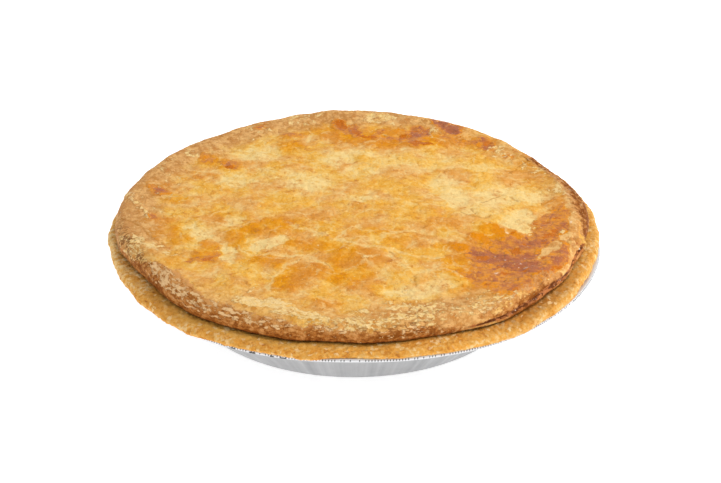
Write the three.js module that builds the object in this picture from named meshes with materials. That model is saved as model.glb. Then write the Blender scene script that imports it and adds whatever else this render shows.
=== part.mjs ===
// Chicken pot pie baked in a pressed foil pan.
// It is three pieces, stacked as a baker stacks them: the pan, the filled bottom crust
// that spreads over the pan's flange, and the rolled-edged top crust laid over both.
// Millimetres, +Z up. The origin is the middle of the pan's foot, on the table.
// Angles run from +X, the pie's right, towards +Y, its back.

import * as THREE from "three";

const { degToRad, smoothstep } = THREE.MathUtils;

// Driving dimensions of the pie
const PIE_RADIUS = 115; // bottom crust's flange, middle to edge
const PAN_DEPTH = 28; // table to the top of the pan's flange
const PAN_FOOT_RADIUS = 81;
const PAN_MOUTH_RADIUS = 103.5; // where the wall turns out into the flange
const RIM_RADIUS = 113.8; // pan's rolled rim, outside
const FLANGE_THICKNESS = 5; // bottom crust over the pan's flange, at its edge
const LID_RADIUS = 109.4; // top crust at the widest line of its rolled edge
const LID_LIP_HEIGHT = 10; // top crust's rolled edge, above the bottom crust

// Sheet and gaps
const FOIL = 0.5; // foil sheet, thickened from about 0.1
const GAP = 0.3; // kept between two pieces that touch

// Fineness of the faceting
const PLEATS = 80;
const PAN_SEGMENTS = 2 * PLEATS; // one ridge and one furrow to a pleat
const FLANGE_SEGMENTS = 144;
const LID_RINGS = 24; // rings of the lid's field
const RING_STEP = 6; // points that each ring of the field has more than the one inside it
const LID_SEGMENTS = RING_STEP * LID_RINGS;

// Finishes
const FOIL_FINISH = { color: 0xb9babb, roughness: 0.38, metalness: 0.9 };
const BROWN_PASTRY = { color: 0xc98f45, roughness: 0.75, metalness: 0 };
const GOLD_PASTRY = { color: 0xd99a45, roughness: 0.6, metalness: 0 };

// A smooth uneven ripple round the circle, from about -1 to 1.
function ripple(angle, waves, seed) {
  let sum = 0;
  for (const wave of waves) sum += Math.cos(wave * angle + seed * (wave + 1.7));
  return sum / Math.sqrt(waves.length);
}

// A smooth uneven relief over a plane, from -1 to 1: crossed waves that bend each other.
function swell(x, y, wavelength, turn) {
  const k = (2 * Math.PI) / wavelength;
  const u = k * (x * Math.cos(turn) + y * Math.sin(turn));
  const v = k * (y * Math.cos(turn) - x * Math.sin(turn));
  return Math.sin(u + 1.3 * Math.sin(0.7 * v)) * Math.cos(0.9 * v + Math.sin(0.6 * u));
}

// Sum of smooth bumps round the circle, each [middle and half angle in degrees, height].
function bumps(angle, list) {
  let sum = 0;
  for (const [middle, halfAngle, height] of list) {
    const turn = angle - degToRad(middle);
    const away = Math.abs(Math.atan2(Math.sin(turn), Math.cos(turn)));
    sum += height * (1 - smoothstep(away, 0, degToRad(halfAngle)));
  }
  return sum;
}

// Joins two rings with triangles, stepping along whichever ring is behind.
function zip(index, lower, upper) {
  const steps = (ring) => (ring.count > 1 ? ring.count : 0);
  const corner = (ring, step) => ring.start + (step % ring.count);
  let i = 0;
  let j = 0;
  while (i < steps(lower) || j < steps(upper)) {
    const lowerNext = i < steps(lower) ? (i + 1) / lower.count : Infinity;
    const upperNext = j < steps(upper) ? (j + 1) / upper.count : Infinity;
    if (lowerNext <= upperNext) {
      index.push(corner(lower, i), corner(lower, i + 1), corner(upper, j));
      i++;
    } else {
      index.push(corner(lower, i), corner(upper, j + 1), corner(upper, j));
      j++;
    }
  }
}

// Makes a closed skin about +Z from rings [radius, height, point count], which start and end
// on the axis. Every point moves by a rule of its angle and radius.
function revolve(rings, shape) {
  const places = [];
  const index = [];
  const point = new THREE.Vector3();
  let last = null;
  for (const [radius, height, count] of rings) {
    const ring = { start: places.length / 3, count };
    for (let i = 0; i < count; i++) {
      const angle = (2 * Math.PI * i) / count;
      point.set(radius * Math.cos(angle), radius * Math.sin(angle), height);
      shape(point, angle, radius);
      places.push(point.x, point.y, point.z);
    }
    if (last) zip(index, last, ring);
    last = ring;
  }
  const geometry = new THREE.BufferGeometry();
  geometry.setAttribute("position", new THREE.Float32BufferAttribute(places, 3));
  geometry.setIndex(index);
  geometry.computeVertexNormals();
  return geometry;
}

// Moves a point along its radius, away from the axis.
function pushOut(point, angle, distance) {
  point.x += distance * Math.cos(angle);
  point.y += distance * Math.sin(angle);
}

function piece(name, geometry, finish) {
  const mesh = new THREE.Mesh(geometry, new THREE.MeshStandardMaterial(finish));
  mesh.name = name;
  return mesh;
}

// Foil pan: a flat foot, a sloped wall whose spare foil is pressed into pleats,
// a flange, and an edge rolled under into a knurled bead.
const FOOT_CORNER = 3;
const CORNER_CUT = 0.3 * FOOT_CORNER; // the foot's round corner is cut in two flats
const MOUTH_INSET = 1; // the round from wall to flange: where it starts inside the mouth
const MOUTH_DROP = 1.2; // and below the flange
const MOUTH_OUTSET = 0.8; // and where it ends on the flange
const BEAD_RADIUS = 1.2;
const BEAD_STEPS = 4;
const BEAD_START = -0.8 * Math.PI; // the roll runs from under the flange
const BEAD_SWEEP = 1.3 * Math.PI; // round the outside to its top
const BEAD_SHOULDER = 0.2;
const BEAD_MIDDLE = new THREE.Vector2(RIM_RADIUS - BEAD_RADIUS, PAN_DEPTH - BEAD_RADIUS);
const FLANGE_EDGE = BEAD_MIDDLE.x - BEAD_RADIUS;
const FLANGE_ROOT = PAN_MOUTH_RADIUS + 2; // where the rim starts to bend
const PLEAT_DEPTH = 0.6; // how far a pleat stands out from the wall
const PLEAT_WAVER = 0.35; // how unevenly they were pressed
const PLEATS_START = [-0.02, 0.2]; // share of the way up the wall where the pleats rise
const PLEATS_END = [0.96, 1.06]; // and where they fade into the flange
const KNURL_DEPTH = 0.15;
const RIM_BENDS = [
  [352, 38, 1.9],
  [208, 56, -1.7],
];

function panRings() {
  const wallRun = FOIL * Math.SQRT1_2;
  const fine = PAN_SEGMENTS;
  const rings = [
    [0, 0, 1],
    [PAN_FOOT_RADIUS - FOOT_CORNER, 0, fine],
    [PAN_FOOT_RADIUS - CORNER_CUT, CORNER_CUT, fine],
    [PAN_FOOT_RADIUS + CORNER_CUT, FOOT_CORNER, fine],
    [PAN_MOUTH_RADIUS - MOUTH_INSET, PAN_DEPTH - FOIL - MOUTH_DROP, fine],
    [PAN_MOUTH_RADIUS + MOUTH_OUTSET, PAN_DEPTH - FOIL, fine],
    [FLANGE_EDGE, PAN_DEPTH - FOIL, fine],
  ];
  for (let i = 0; i <= BEAD_STEPS; i++) {
    const turn = BEAD_START + (BEAD_SWEEP * i) / BEAD_STEPS;
    const radius = BEAD_MIDDLE.x + BEAD_RADIUS * Math.cos(turn);
    rings.push([radius, BEAD_MIDDLE.y + BEAD_RADIUS * Math.sin(turn), fine]);
  }
  rings.push(
    [FLANGE_EDGE - BEAD_SHOULDER, PAN_DEPTH, PLEATS],
    [PAN_MOUTH_RADIUS + MOUTH_OUTSET / 2, PAN_DEPTH, fine],
    [PAN_MOUTH_RADIUS - MOUTH_INSET - wallRun, PAN_DEPTH - MOUTH_DROP, fine],
    [PAN_FOOT_RADIUS + CORNER_CUT - wallRun, FOOT_CORNER + wallRun, fine],
    [PAN_FOOT_RADIUS - FOOT_CORNER, FOIL, PLEATS],
    [0, FOIL, 1],
  );
  return rings;
}

// How far the wall is pleated at a radius: none in the foot and flange, most below the mouth.
function pleating(radius) {
  const up = (radius - PAN_FOOT_RADIUS) / (PAN_MOUTH_RADIUS - PAN_FOOT_RADIUS);
  return smoothstep(up, ...PLEATS_START) * (1 - smoothstep(up, ...PLEATS_END));
}

function foilPan() {
  const shape = (point, angle, radius) => {
    const ridge = 0.5 + 0.5 * Math.cos(PLEATS * angle);
    const uneven = 0.75 + PLEAT_WAVER * ripple(angle, [3, 7, 11, 17], 2.1);
    pushOut(point, angle, PLEAT_DEPTH * ridge * uneven * pleating(radius));
    const onRim = smoothstep(radius, FLANGE_ROOT, FLANGE_EDGE);
    pushOut(point, angle, bumps(angle, RIM_BENDS) * onRim);
    if (radius > BEAD_MIDDLE.x) pushOut(point, angle, -KNURL_DEPTH * ridge);
  };
  return piece("foil_pan", revolve(panRings(), shape), FOIL_FINISH);
}

// Bottom crust with its filling: it fills the pan and spreads over the flange as a thick,
// grainy ring of pastry whose edge was trimmed by hand, so its outline wavers and droops.
const FLANGE_BOTTOM = PAN_DEPTH + GAP;
const FLANGE_TOP = FLANGE_BOTTOM + FLANGE_THICKNESS;
const SHELL_TOP = FLANGE_TOP + 0.6; // where the top crust lies
// The flange's round edge from underneath to on top, each [inset, share of the thickness]
const FLANGE_EDGE_ROUND = [
  [3.2, 0],
  [0.8, 0.22],
  [0, 0.5],
  [0.6, 0.82],
  [2.2, 1],
  [4.6, 1.05],
];
const SHELL_INSET = 7.6; // where the flange meets the level that the lid lies on
const EDGE_BAND = 5; // width of the trimmed, wavering edge
const EDGE_FULL = 0.8; // how far in from the edge it wavers fully
const EDGE_WAVER = 0.45;
const GRAIN_HEIGHT = 0.2;
const GRAIN_FROM = FLANGE_TOP - 1; // the grain is on the flange's upper face alone
const EDGE_DENTS = [
  [264, 20, -1.9],
  [335, 16, -0.9],
  [222, 26, 0.6],
];

function bottomCrustRings() {
  const wallRun = (FOIL + GAP) * Math.SQRT2;
  const fine = FLANGE_SEGMENTS;
  const coarse = FLANGE_SEGMENTS / 2;
  const rings = [
    [0, FOIL + GAP, 1],
    [PAN_FOOT_RADIUS - FOOT_CORNER - GAP, FOIL + GAP, coarse],
    [PAN_FOOT_RADIUS + CORNER_CUT - wallRun, FOOT_CORNER + GAP, coarse],
    [PAN_MOUTH_RADIUS - MOUTH_INSET - wallRun, PAN_DEPTH - MOUTH_DROP, coarse],
    [PAN_MOUTH_RADIUS - GAP, FLANGE_BOTTOM, coarse],
  ];
  for (const [inset, share] of FLANGE_EDGE_ROUND) {
    rings.push([PIE_RADIUS - inset, FLANGE_BOTTOM + share * FLANGE_THICKNESS, fine]);
  }
  rings.push([PIE_RADIUS - SHELL_INSET, SHELL_TOP, fine], [0, SHELL_TOP, 1]);
  return rings;
}

function bottomCrust() {
  const shape = (point, angle, radius) => {
    const atEdge = smoothstep(radius, PIE_RADIUS - EDGE_BAND, PIE_RADIUS - EDGE_FULL);
    const waver = EDGE_WAVER * ripple(angle, [5, 9, 14, 23, 37], 4.4);
    pushOut(point, angle, (waver + bumps(angle, EDGE_DENTS)) * atEdge);
    const onTop = point.z > GRAIN_FROM ? atEdge : 0;
    point.z += GRAIN_HEIGHT * onTop * ripple(angle, [19, 31, 47, 61], 0.9);
  };
  return piece("bottom_crust", revolve(bottomCrustRings(), shape), BROWN_PASTRY);
}

// Top crust: a thick sheet of pastry with a rolled edge that stands up as a lip round a
// slightly sunken, blistered field. On the right the roll has opened into two layers.
const LID_BOTTOM = SHELL_TOP + GAP;
const LIP_TOP = SHELL_TOP + LID_LIP_HEIGHT;
const ROLL_HEIGHT = LIP_TOP - LID_BOTTOM;
const LIP_RADIUS = LID_RADIUS - 6.5;
const CREASE_RADIUS = LID_RADIUS - 2.8; // where the roll meets the bottom crust
const CREASE_INSET = 2; // from there in to the flat underside
// The roll from the crease up to the lip, each [radius, share of the roll's height]
const ROLL_ROUND = [
  [CREASE_RADIUS, 0.07],
  [LID_RADIUS - 0.7, 0.22],
  [LID_RADIUS, 0.4],
  [LID_RADIUS - 0.6, 0.57],
  [LID_RADIUS - 1.9, 0.76],
  [LID_RADIUS - 3.9, 0.92],
];
const FIELD_SINK = 1.2; // the field just inside the lip, below the lip
const FIELD_BORDER = LIP_RADIUS - 13; // where the lip's inner slope ends
const DOME_RISE = 1.4; // the middle of the field, above its border
const ROLL_START = LIP_RADIUS - 1; // where the roll's waver starts
const ROLL_WAVER = 0.35;
const ROLL_BULGES = [
  [236, 32, 1.2],
  [162, 28, 1.4],
];
const LIP_RISES = [
  [91, 26, 1.3],
  [158, 30, 1.5],
  [48, 42, -1.0],
];
const LIP_RISE_START = FIELD_BORDER - 20;
const SPLIT_LEVEL = LID_BOTTOM + 0.7 * ROLL_HEIGHT;
const SPLIT_REACH = 3.2; // above and below that level
const SPLIT_FURROW = [[354, 44, 2.6]]; // between the two layers on the right
const SPLIT_NOTCH = [[357, 4, 1.6]]; // where the split roll is pinched shut
// Swells and blisters of the field, each [wavelength, turn in radians, height]
const FIELD_SWELLS = [
  [62, 0.4, 0.5],
  [34, 1.1, 0.35],
  [19, 0.2, 0.3],
];
const FLAKE_SPACING = 21;
const FLAKE_TURN = 2.3;
const FLAKE_HEIGHT = 0.5;
const FLAKE_SLOPE = [0.1, 0.4]; // the height of a wave, of 1, over which a flake's edge rises
const FLAKES_START = [78, 94]; // radii between which the flakes near the lip begin

// Height of the lid's upper face before its relief: the lip, its inner slope and a low dome.
function fieldHeight(radius) {
  const slope = smoothstep(LIP_RADIUS - radius, 0, LIP_RADIUS - FIELD_BORDER);
  const across = Math.min(1, radius / FIELD_BORDER);
  return LIP_TOP - FIELD_SINK * slope + DOME_RISE * (1 - across * across);
}

function topCrustRings() {
  const fine = LID_SEGMENTS;
  const rings = [
    [0, LID_BOTTOM, 1],
    [CREASE_RADIUS - CREASE_INSET, LID_BOTTOM, fine],
  ];
  for (const [radius, share] of ROLL_ROUND) {
    rings.push([radius, LID_BOTTOM + share * ROLL_HEIGHT, fine]);
  }
  for (let k = LID_RINGS; k > 0; k--) {
    const radius = (LIP_RADIUS * k) / LID_RINGS;
    rings.push([radius, fieldHeight(radius), RING_STEP * k]);
  }
  rings.push([0, fieldHeight(0), 1]);
  return rings;
}

// Blisters, crags and raised flakes of the upper face, in millimetres.
function lidRelief(x, y, radius) {
  const inside = 1 - smoothstep(radius, LIP_RADIUS, LID_RADIUS);
  const flakes = smoothstep(swell(x, y, FLAKE_SPACING, FLAKE_TURN), ...FLAKE_SLOPE);
  let relief = FLAKE_HEIGHT * flakes * smoothstep(radius, ...FLAKES_START);
  for (const [wavelength, turn, height] of FIELD_SWELLS) {
    relief += height * swell(x, y, wavelength, turn);
  }
  return inside * relief;
}

function topCrust() {
  const shape = (point, angle, radius) => {
    if (point.z <= LID_BOTTOM) return; // the underside stays flat
    const onRoll = smoothstep(radius, ROLL_START, CREASE_RADIUS);
    const waver = ROLL_WAVER * ripple(angle, [5, 8, 13, 29, 41], 1.3);
    const level = 1 - smoothstep(Math.abs(point.z - SPLIT_LEVEL), 0, SPLIT_REACH);
    const furrow = bumps(angle, SPLIT_FURROW) * level + bumps(angle, SPLIT_NOTCH);
    pushOut(point, angle, (waver + bumps(angle, ROLL_BULGES) - furrow) * onRoll);

    const nearLip = smoothstep(radius, LIP_RISE_START, LIP_RADIUS);
    const raised = smoothstep(point.z, LID_BOTTOM, LIP_TOP);
    point.z += bumps(angle, LIP_RISES) * nearLip * raised;
    point.z += lidRelief(point.x, point.y, radius) * raised;
  };
  return piece("top_crust", revolve(topCrustRings(), shape), GOLD_PASTRY);
}

const pie = new THREE.Group();
pie.add(foilPan(), bottomCrust(), topCrust());

export default pie;
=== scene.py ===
# Chicken pot pie baked in a pressed foil pan.
# It is put together as a baker does it: pan, bottom crust over the pan's flange, top crust.
# Metres, +Z up, the middle of the pan's foot at the origin. Angles run from +X to +Y.
import math
import bpy
import numpy as np
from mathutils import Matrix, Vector, noise


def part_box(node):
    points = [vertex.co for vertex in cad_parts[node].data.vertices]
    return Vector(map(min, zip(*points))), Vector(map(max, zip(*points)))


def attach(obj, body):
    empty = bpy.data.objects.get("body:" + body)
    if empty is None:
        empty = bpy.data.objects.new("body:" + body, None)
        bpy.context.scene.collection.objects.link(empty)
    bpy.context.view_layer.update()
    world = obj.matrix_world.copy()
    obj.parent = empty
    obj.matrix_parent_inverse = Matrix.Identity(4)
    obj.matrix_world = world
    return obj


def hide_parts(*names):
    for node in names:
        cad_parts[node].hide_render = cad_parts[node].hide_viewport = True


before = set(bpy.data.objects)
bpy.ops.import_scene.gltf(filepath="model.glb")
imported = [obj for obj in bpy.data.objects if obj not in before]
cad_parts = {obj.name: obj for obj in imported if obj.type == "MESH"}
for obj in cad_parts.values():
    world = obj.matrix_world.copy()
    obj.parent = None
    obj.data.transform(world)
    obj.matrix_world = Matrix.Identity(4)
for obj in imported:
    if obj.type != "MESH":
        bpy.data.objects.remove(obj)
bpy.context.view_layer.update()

# Table and light
# The pie stands on a plain white table in a bright room, under one soft box high on the
# right. The camera looks along +Y and down on the pie, from a little under a metre away.
MM = 0.001
CAMERA_ELEVATION = math.radians(28.84)
CAMERA_DISTANCE = 920 * MM
CAMERA_AIM = Vector((3.0, -8.1, 30.0)) * MM
CAMERA_FOCAL_PIXELS = 1964
PICTURE_WIDTH_PIXELS = 721
SENSOR_WIDTH_IN_MM = 36
WHITE = (1, 1, 1, 1)
TABLE_WIDTH = 12.0
TABLE_WHITE = (0.93, 0.93, 0.93, 1)
TABLE_GLOW = 0.62
ROOM_BRIGHTNESS = 0.72
SOFT_BOX_PLACE = Vector((0.9, -0.1, 1.0))
SOFT_BOX_WIDTH = 0.9
SOFT_BOX_POWER = 10.5

bpy.ops.object.select_all(action="DESELECT")
toward_camera = Vector((0, -math.cos(CAMERA_ELEVATION), math.sin(CAMERA_ELEVATION)))
bpy.ops.object.camera_add(
    location=CAMERA_AIM + CAMERA_DISTANCE * toward_camera,
    rotation=(math.pi / 2 - CAMERA_ELEVATION, 0, 0),
)
camera = bpy.context.object
camera.data.sensor_width = SENSOR_WIDTH_IN_MM
camera.data.lens = SENSOR_WIDTH_IN_MM * CAMERA_FOCAL_PIXELS / PICTURE_WIDTH_PIXELS
bpy.context.scene.camera = camera


def new_material(name):
    """A material with its node tree and its shader."""
    material = bpy.data.materials.new(name)
    material.use_nodes = True
    return material, material.node_tree, material.node_tree.nodes["Principled BSDF"]


def connect(tree, node, **values):
    """Sets or links a node's inputs by name, or by number as in0, in1 and so on."""
    for name, value in values.items():
        numbered = name.startswith("in") and name[2:].isdigit()
        socket = node.inputs[int(name[2:]) if numbered else name.replace("_", " ")]
        if isinstance(value, bpy.types.NodeSocket):
            tree.links.new(value, socket)
        else:
            socket.default_value = value


bpy.ops.mesh.primitive_plane_add(size=TABLE_WIDTH)
table = bpy.context.object
table.name = "table"
table_material, tree, shader = new_material("table_white")
connect(tree, shader, Base_Color=TABLE_WHITE, Roughness=0.9, Specular_IOR_Level=0.1)
connect(tree, shader, Emission_Color=WHITE, Emission_Strength=TABLE_GLOW)
table.data.materials.append(table_material)

toward_pie = -SOFT_BOX_PLACE
bpy.ops.object.light_add(
    type="AREA",
    location=SOFT_BOX_PLACE,
    rotation=toward_pie.to_track_quat("-Z", "Y").to_euler(),
)
soft_box = bpy.context.object
soft_box.data.size = SOFT_BOX_WIDTH
soft_box.data.energy = SOFT_BOX_POWER
room = bpy.data.worlds.new("room")
room.use_nodes = True
background = room.node_tree.nodes["Background"]
connect(room.node_tree, background, Color=WHITE, Strength=ROOM_BRIGHTNESS)
bpy.context.scene.world = room
bpy.context.scene.view_settings.view_transform = "Standard"

# Foil pan
# One disc of soft aluminium pressed into a pan: the spare foil of the sloped wall falls into
# pleats, and the edge of the flange is rolled under into a knurled bead.
PAN_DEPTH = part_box("foil_pan")[1].z
PAN_FOOT_RADIUS = 81 * MM
PAN_MOUTH_RADIUS = 103.5 * MM
PAN_RIM_RADIUS = 113.8 * MM
PAN_CORNER = 3 * MM
CORNER_CUT = 0.3 * PAN_CORNER
FOIL = 0.5 * MM
SHOULDER_INSET = 1 * MM
SHOULDER_DROP = 1.2 * MM
SHOULDER_OUTSET = 0.8 * MM
BEAD_RADIUS = 0.9 * MM
BEAD_START_DEG = -144
BEAD_SEAM = 0.2 * MM
PLEATS = 80
PLEAT_DEPTH = 0.6 * MM
PLEAT_WANDER = 0.02
PLEAT_SHARPNESS = 1.6
KNURLS = 540
KNURL_DEPTH = 0.2 * MM
PAN_STEPS = 3 * KNURLS
WALL_RINGS = 10
BEAD_RINGS = 9
# Bends of the rim outwards, lifts of its bead and dark dashes painted on it: middle and half
# angle in degrees, then mm or strength
RIM_BENDS = [(352, 38, 1.9), (208, 56, -1.7), (272, 40, -1.2)]
RIM_LIFTS = [(260, 70, 2.1), (288, 24, 0.4), (269, 14, 0.5)]
RIM_DARK_DASHES = [(249, 16, 1.0), (332, 10, 0.9)]


def smoothstep(value, low, high):
    """0 below low, 1 above high, and a smooth rise between."""
    share = np.clip((value - low) / (high - low), 0, 1)
    return share * share * (3 - 2 * share)


def ripple(angle, waves, seed):
    """An uneven wave round the circle, from about -1 to 1."""
    total = sum(np.cos(wave * angle + seed * (wave + 1.7)) for wave in waves)
    return total / math.sqrt(len(waves))


def bumps(angle, places):
    """Smooth bumps round the circle, each (middle and half angle in degrees, height in mm)."""
    total = np.zeros_like(angle)
    for middle, half_angle, height in places:
        turn = angle - math.radians(middle)
        away = np.abs(np.arctan2(np.sin(turn), np.cos(turn)))
        total += height * MM * (1 - smoothstep(away, 0, math.radians(half_angle)))
    return total


def turn_piece(name, profile, steps):
    """A closed piece about +Z: a disc extruded ring by ring along (radius, height) points."""
    radius, height = profile[0]
    bpy.ops.object.select_all(action="DESELECT")
    bpy.ops.mesh.primitive_circle_add(
        vertices=steps, radius=radius, location=(0, 0, height), fill_type="NGON"
    )
    piece = bpy.context.object
    piece.name = name
    bpy.ops.object.transform_apply(location=True)
    bpy.ops.object.mode_set(mode="EDIT")
    for next_radius, next_height in profile[1:]:
        rise = (0, 0, next_height - height)
        bpy.ops.mesh.extrude_region_move(TRANSFORM_OT_translate={"value": rise})
        widen = next_radius / radius
        bpy.ops.transform.resize(value=(widen, widen, 1), center_override=(0, 0, next_height))
        radius, height = next_radius, next_height
    bpy.ops.mesh.select_all(action="SELECT")
    bpy.ops.mesh.normals_make_consistent(inside=False)
    bpy.ops.object.mode_set(mode="OBJECT")
    return piece


def read_vertices(piece, what="co"):
    """The piece's vertex places or normals, as rows of three."""
    values = np.empty(3 * len(piece.data.vertices))
    piece.data.vertices.foreach_get(what, values)
    return values.reshape(-1, 3)


def write_vertices(piece, places):
    piece.data.vertices.foreach_set("co", places.ravel())
    piece.data.update()


def polar(places):
    """The angle of each place round the axis, and its distance from the axis."""
    return np.arctan2(places[:, 1], places[:, 0]), np.hypot(places[:, 0], places[:, 1])


def push_out(places, angle, distance):
    """Moves places along their radius, away from the axis."""
    places[:, 0] += distance * np.cos(angle)
    places[:, 1] += distance * np.sin(angle)


def stretch(first, last, count):
    """Points from first to last, both (radius, height), without the last."""
    run = np.array(last) - np.array(first)
    return [tuple(np.array(first) + run * i / count) for i in range(count)]


def arc(middle, half_width, half_height, start_deg, end_deg, count):
    """Points along an ellipse's arc, as (radius, height)."""
    turns = np.radians(np.linspace(start_deg, end_deg, count))
    return [
        (middle[0] + half_width * math.cos(turn), middle[1] + half_height * math.sin(turn))
        for turn in turns
    ]


bead_middle = (PAN_RIM_RADIUS - BEAD_RADIUS, PAN_DEPTH - BEAD_RADIUS)
flange_edge = bead_middle[0] - BEAD_RADIUS
wall_run = FOIL * math.sqrt(0.5)
wall_foot = (PAN_FOOT_RADIUS + CORNER_CUT, PAN_CORNER)
wall_head = (PAN_MOUTH_RADIUS - SHOULDER_INSET, PAN_DEPTH - FOIL - SHOULDER_DROP)
inner_head = (wall_head[0] - wall_run, PAN_DEPTH - SHOULDER_DROP)
inner_foot = (wall_foot[0] - wall_run, PAN_CORNER + wall_run)
pan_profile = [
    (PAN_FOOT_RADIUS - PAN_CORNER, 0),
    (PAN_FOOT_RADIUS - CORNER_CUT, CORNER_CUT),
    *stretch(wall_foot, wall_head, WALL_RINGS),
    wall_head,
    (PAN_MOUTH_RADIUS + SHOULDER_OUTSET, PAN_DEPTH - FOIL),
    (flange_edge, PAN_DEPTH - FOIL),
    *arc(bead_middle, BEAD_RADIUS, BEAD_RADIUS, BEAD_START_DEG, 90, BEAD_RINGS),
    (flange_edge - BEAD_SEAM, PAN_DEPTH),
    (PAN_MOUTH_RADIUS + SHOULDER_OUTSET / 2, PAN_DEPTH),
    *stretch(inner_head, inner_foot, WALL_RINGS),
    inner_foot,
    (PAN_FOOT_RADIUS - PAN_CORNER, FOIL),
]
foil_pan = turn_piece("pressed_foil_pan", pan_profile, PAN_STEPS)

# Pleats of the wall, bends of the rim, and the bead's knurl
places = read_vertices(foil_pan)
angle, radius = polar(places)
up_wall = (radius - PAN_FOOT_RADIUS) / (PAN_MOUTH_RADIUS - PAN_FOOT_RADIUS)
on_wall = smoothstep(up_wall, -0.02, 0.2) * smoothstep(1.06 - up_wall, 0, 0.1)
on_rim = smoothstep(radius, PAN_MOUTH_RADIUS + 2 * MM, flange_edge)
on_bead = smoothstep(radius, flange_edge - 2 * MM, flange_edge)
pleat_angle = angle + PLEAT_WANDER * ripple(angle, [9, 16, 27], 3.3)
ridge = (0.5 + 0.5 * np.cos(PLEATS * pleat_angle)) ** PLEAT_SHARPNESS
uneven = 0.75 + 0.35 * ripple(angle, [3, 7, 11, 17], 2.1)
push_out(places, angle, PLEAT_DEPTH * ridge * uneven * on_wall + bumps(angle, RIM_BENDS) * on_rim)
knurl = 0.5 + 0.5 * np.cos(KNURLS * angle)
push_out(places, angle, -KNURL_DEPTH * knurl * (radius > bead_middle[0] - 0.1 * MM))
bead_height = places[:, 2] - bead_middle[1]
places[:, 2] += bumps(angle, RIM_LIFTS) * on_bead
write_vertices(foil_pan, places)
foil_pan.data.shade_smooth()


def store(piece, **values_by_name):
    """Keeps values for the vertices under their names, for the material to read."""
    for name, values in values_by_name.items():
        attribute = piece.data.attributes.new(name, "FLOAT", "POINT")
        attribute.data.foreach_set("value", values.astype(np.float32))


# Painted shade in the grooves of the knurl, and dark dashes on the bead
outside_bead = smoothstep(bead_height, -0.5 * BEAD_RADIUS, -0.2 * BEAD_RADIUS)
outside_bead *= 1 - smoothstep(bead_height, 0.7 * BEAD_RADIUS, 0.9 * BEAD_RADIUS)
outside_bead *= radius > bead_middle[0]
knurl_groove_shade = smoothstep(knurl, 0.5, 0.9) * outside_bead
knurl_groove_shade *= smoothstep(ripple(angle, [19, 180, 230], 0.7), -1.0, -0.4)
dark_dashes = smoothstep(ripple(angle, [61, 97, 149], 0.4), 0.05, 0.25) * bumps(angle, RIM_DARK_DASHES) / MM
dark_dashes *= (np.abs(bead_height + 0.1 * BEAD_RADIUS) < 0.45 * BEAD_RADIUS) * on_bead
store(
    foil_pan,
    groove=np.minimum(1, knurl_groove_shade + dark_dashes),
    # The bead's upper half is painted paler and less metallic, a painted highlight
    bead=smoothstep(bead_height, -BEAD_RADIUS, 0) * on_bead,
)


def add_node(tree, kind, settings=None, **values):
    """Adds a node, sets its properties, and sets or links its inputs."""
    node = tree.nodes.new(kind)
    for setting, value in (settings or {}).items():
        setattr(node, setting, value)
    connect(tree, node, **values)
    return node


def own_place(tree):
    """The place on the piece, in the piece's own coordinates."""
    return add_node(tree, "ShaderNodeTexCoord").outputs["Object"]


def vector_math(tree, operation, **values):
    return add_node(tree, "ShaderNodeVectorMath", {"operation": operation}, **values).outputs[0]


def heading(tree, place):
    """The direction from the axis to a place: it changes only round the pie."""
    flat_place = vector_math(tree, "MULTIPLY", in0=place, in1=(1, 1, 0))
    return vector_math(tree, "NORMALIZE", in0=flat_place)


def noise_value(tree, place, scale, detail, roughness=0.5):
    """Random noise over the place, about 0.5."""
    node = add_node(tree, "ShaderNodeTexNoise", Vector=place, Scale=scale)
    connect(tree, node, Detail=detail, Roughness=roughness)
    return node.outputs[0]


def stored(tree, name):
    """A value that was kept for the vertices."""
    return add_node(tree, "ShaderNodeAttribute", {"attribute_name": name}).outputs["Fac"]


def arithmetic(tree, operation, first, second):
    return add_node(tree, "ShaderNodeMath", {"operation": operation}, in0=first, in1=second).outputs[0]


def weighted(tree, total, *terms):
    """The total plus each term's value times its weight."""
    for value, weight in terms:
        settings = {"operation": "MULTIPLY_ADD"}
        total = add_node(tree, "ShaderNodeMath", settings, in0=value, in1=weight, in2=total).outputs[0]
    return total


def between(tree, share, first, second):
    """A value that runs evenly from first to second as the share goes from 0 to 1."""
    return add_node(tree, "ShaderNodeMapRange", Value=share, To_Min=first, To_Max=second).outputs[0]


def ramp(tree, value, positions, colours):
    """A colour ramp that reaches each colour at its position."""
    node = add_node(tree, "ShaderNodeValToRGB", Fac=value)
    elements = node.color_ramp.elements
    while len(elements) < len(colours):
        elements.new(0.5)
    for element, position, colour in zip(elements, positions, colours):
        element.position = position
        element.color = colour
    return node.outputs["Color"]


def mix(tree, share, first, second):
    """The first colour where the share is 0, the second where it is 1."""
    settings = {"data_type": "RGBA"}
    return add_node(tree, "ShaderNodeMix", settings, in0=share, in6=first, in7=second).outputs[2]


def relief_normal(tree, relief, depth, strength):
    """The normal of a fine relief, about 0 to 1, that is so deep."""
    return add_node(
        tree, "ShaderNodeBump", Height=relief, Distance=depth, Strength=strength
    ).outputs[0]


FOIL_DARK = (0.34, 0.34, 0.345, 1)
FOIL_LIGHT = (0.48, 0.48, 0.485, 1)
BEAD_HIGHLIGHT_GREY = (0.7, 0.7, 0.71, 1)
GROOVE_SHADE_BLACK = (0.04, 0.04, 0.04, 1)
STREAKS_ROUND = 26
DENT_SIZE = 6.25 * MM

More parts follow.
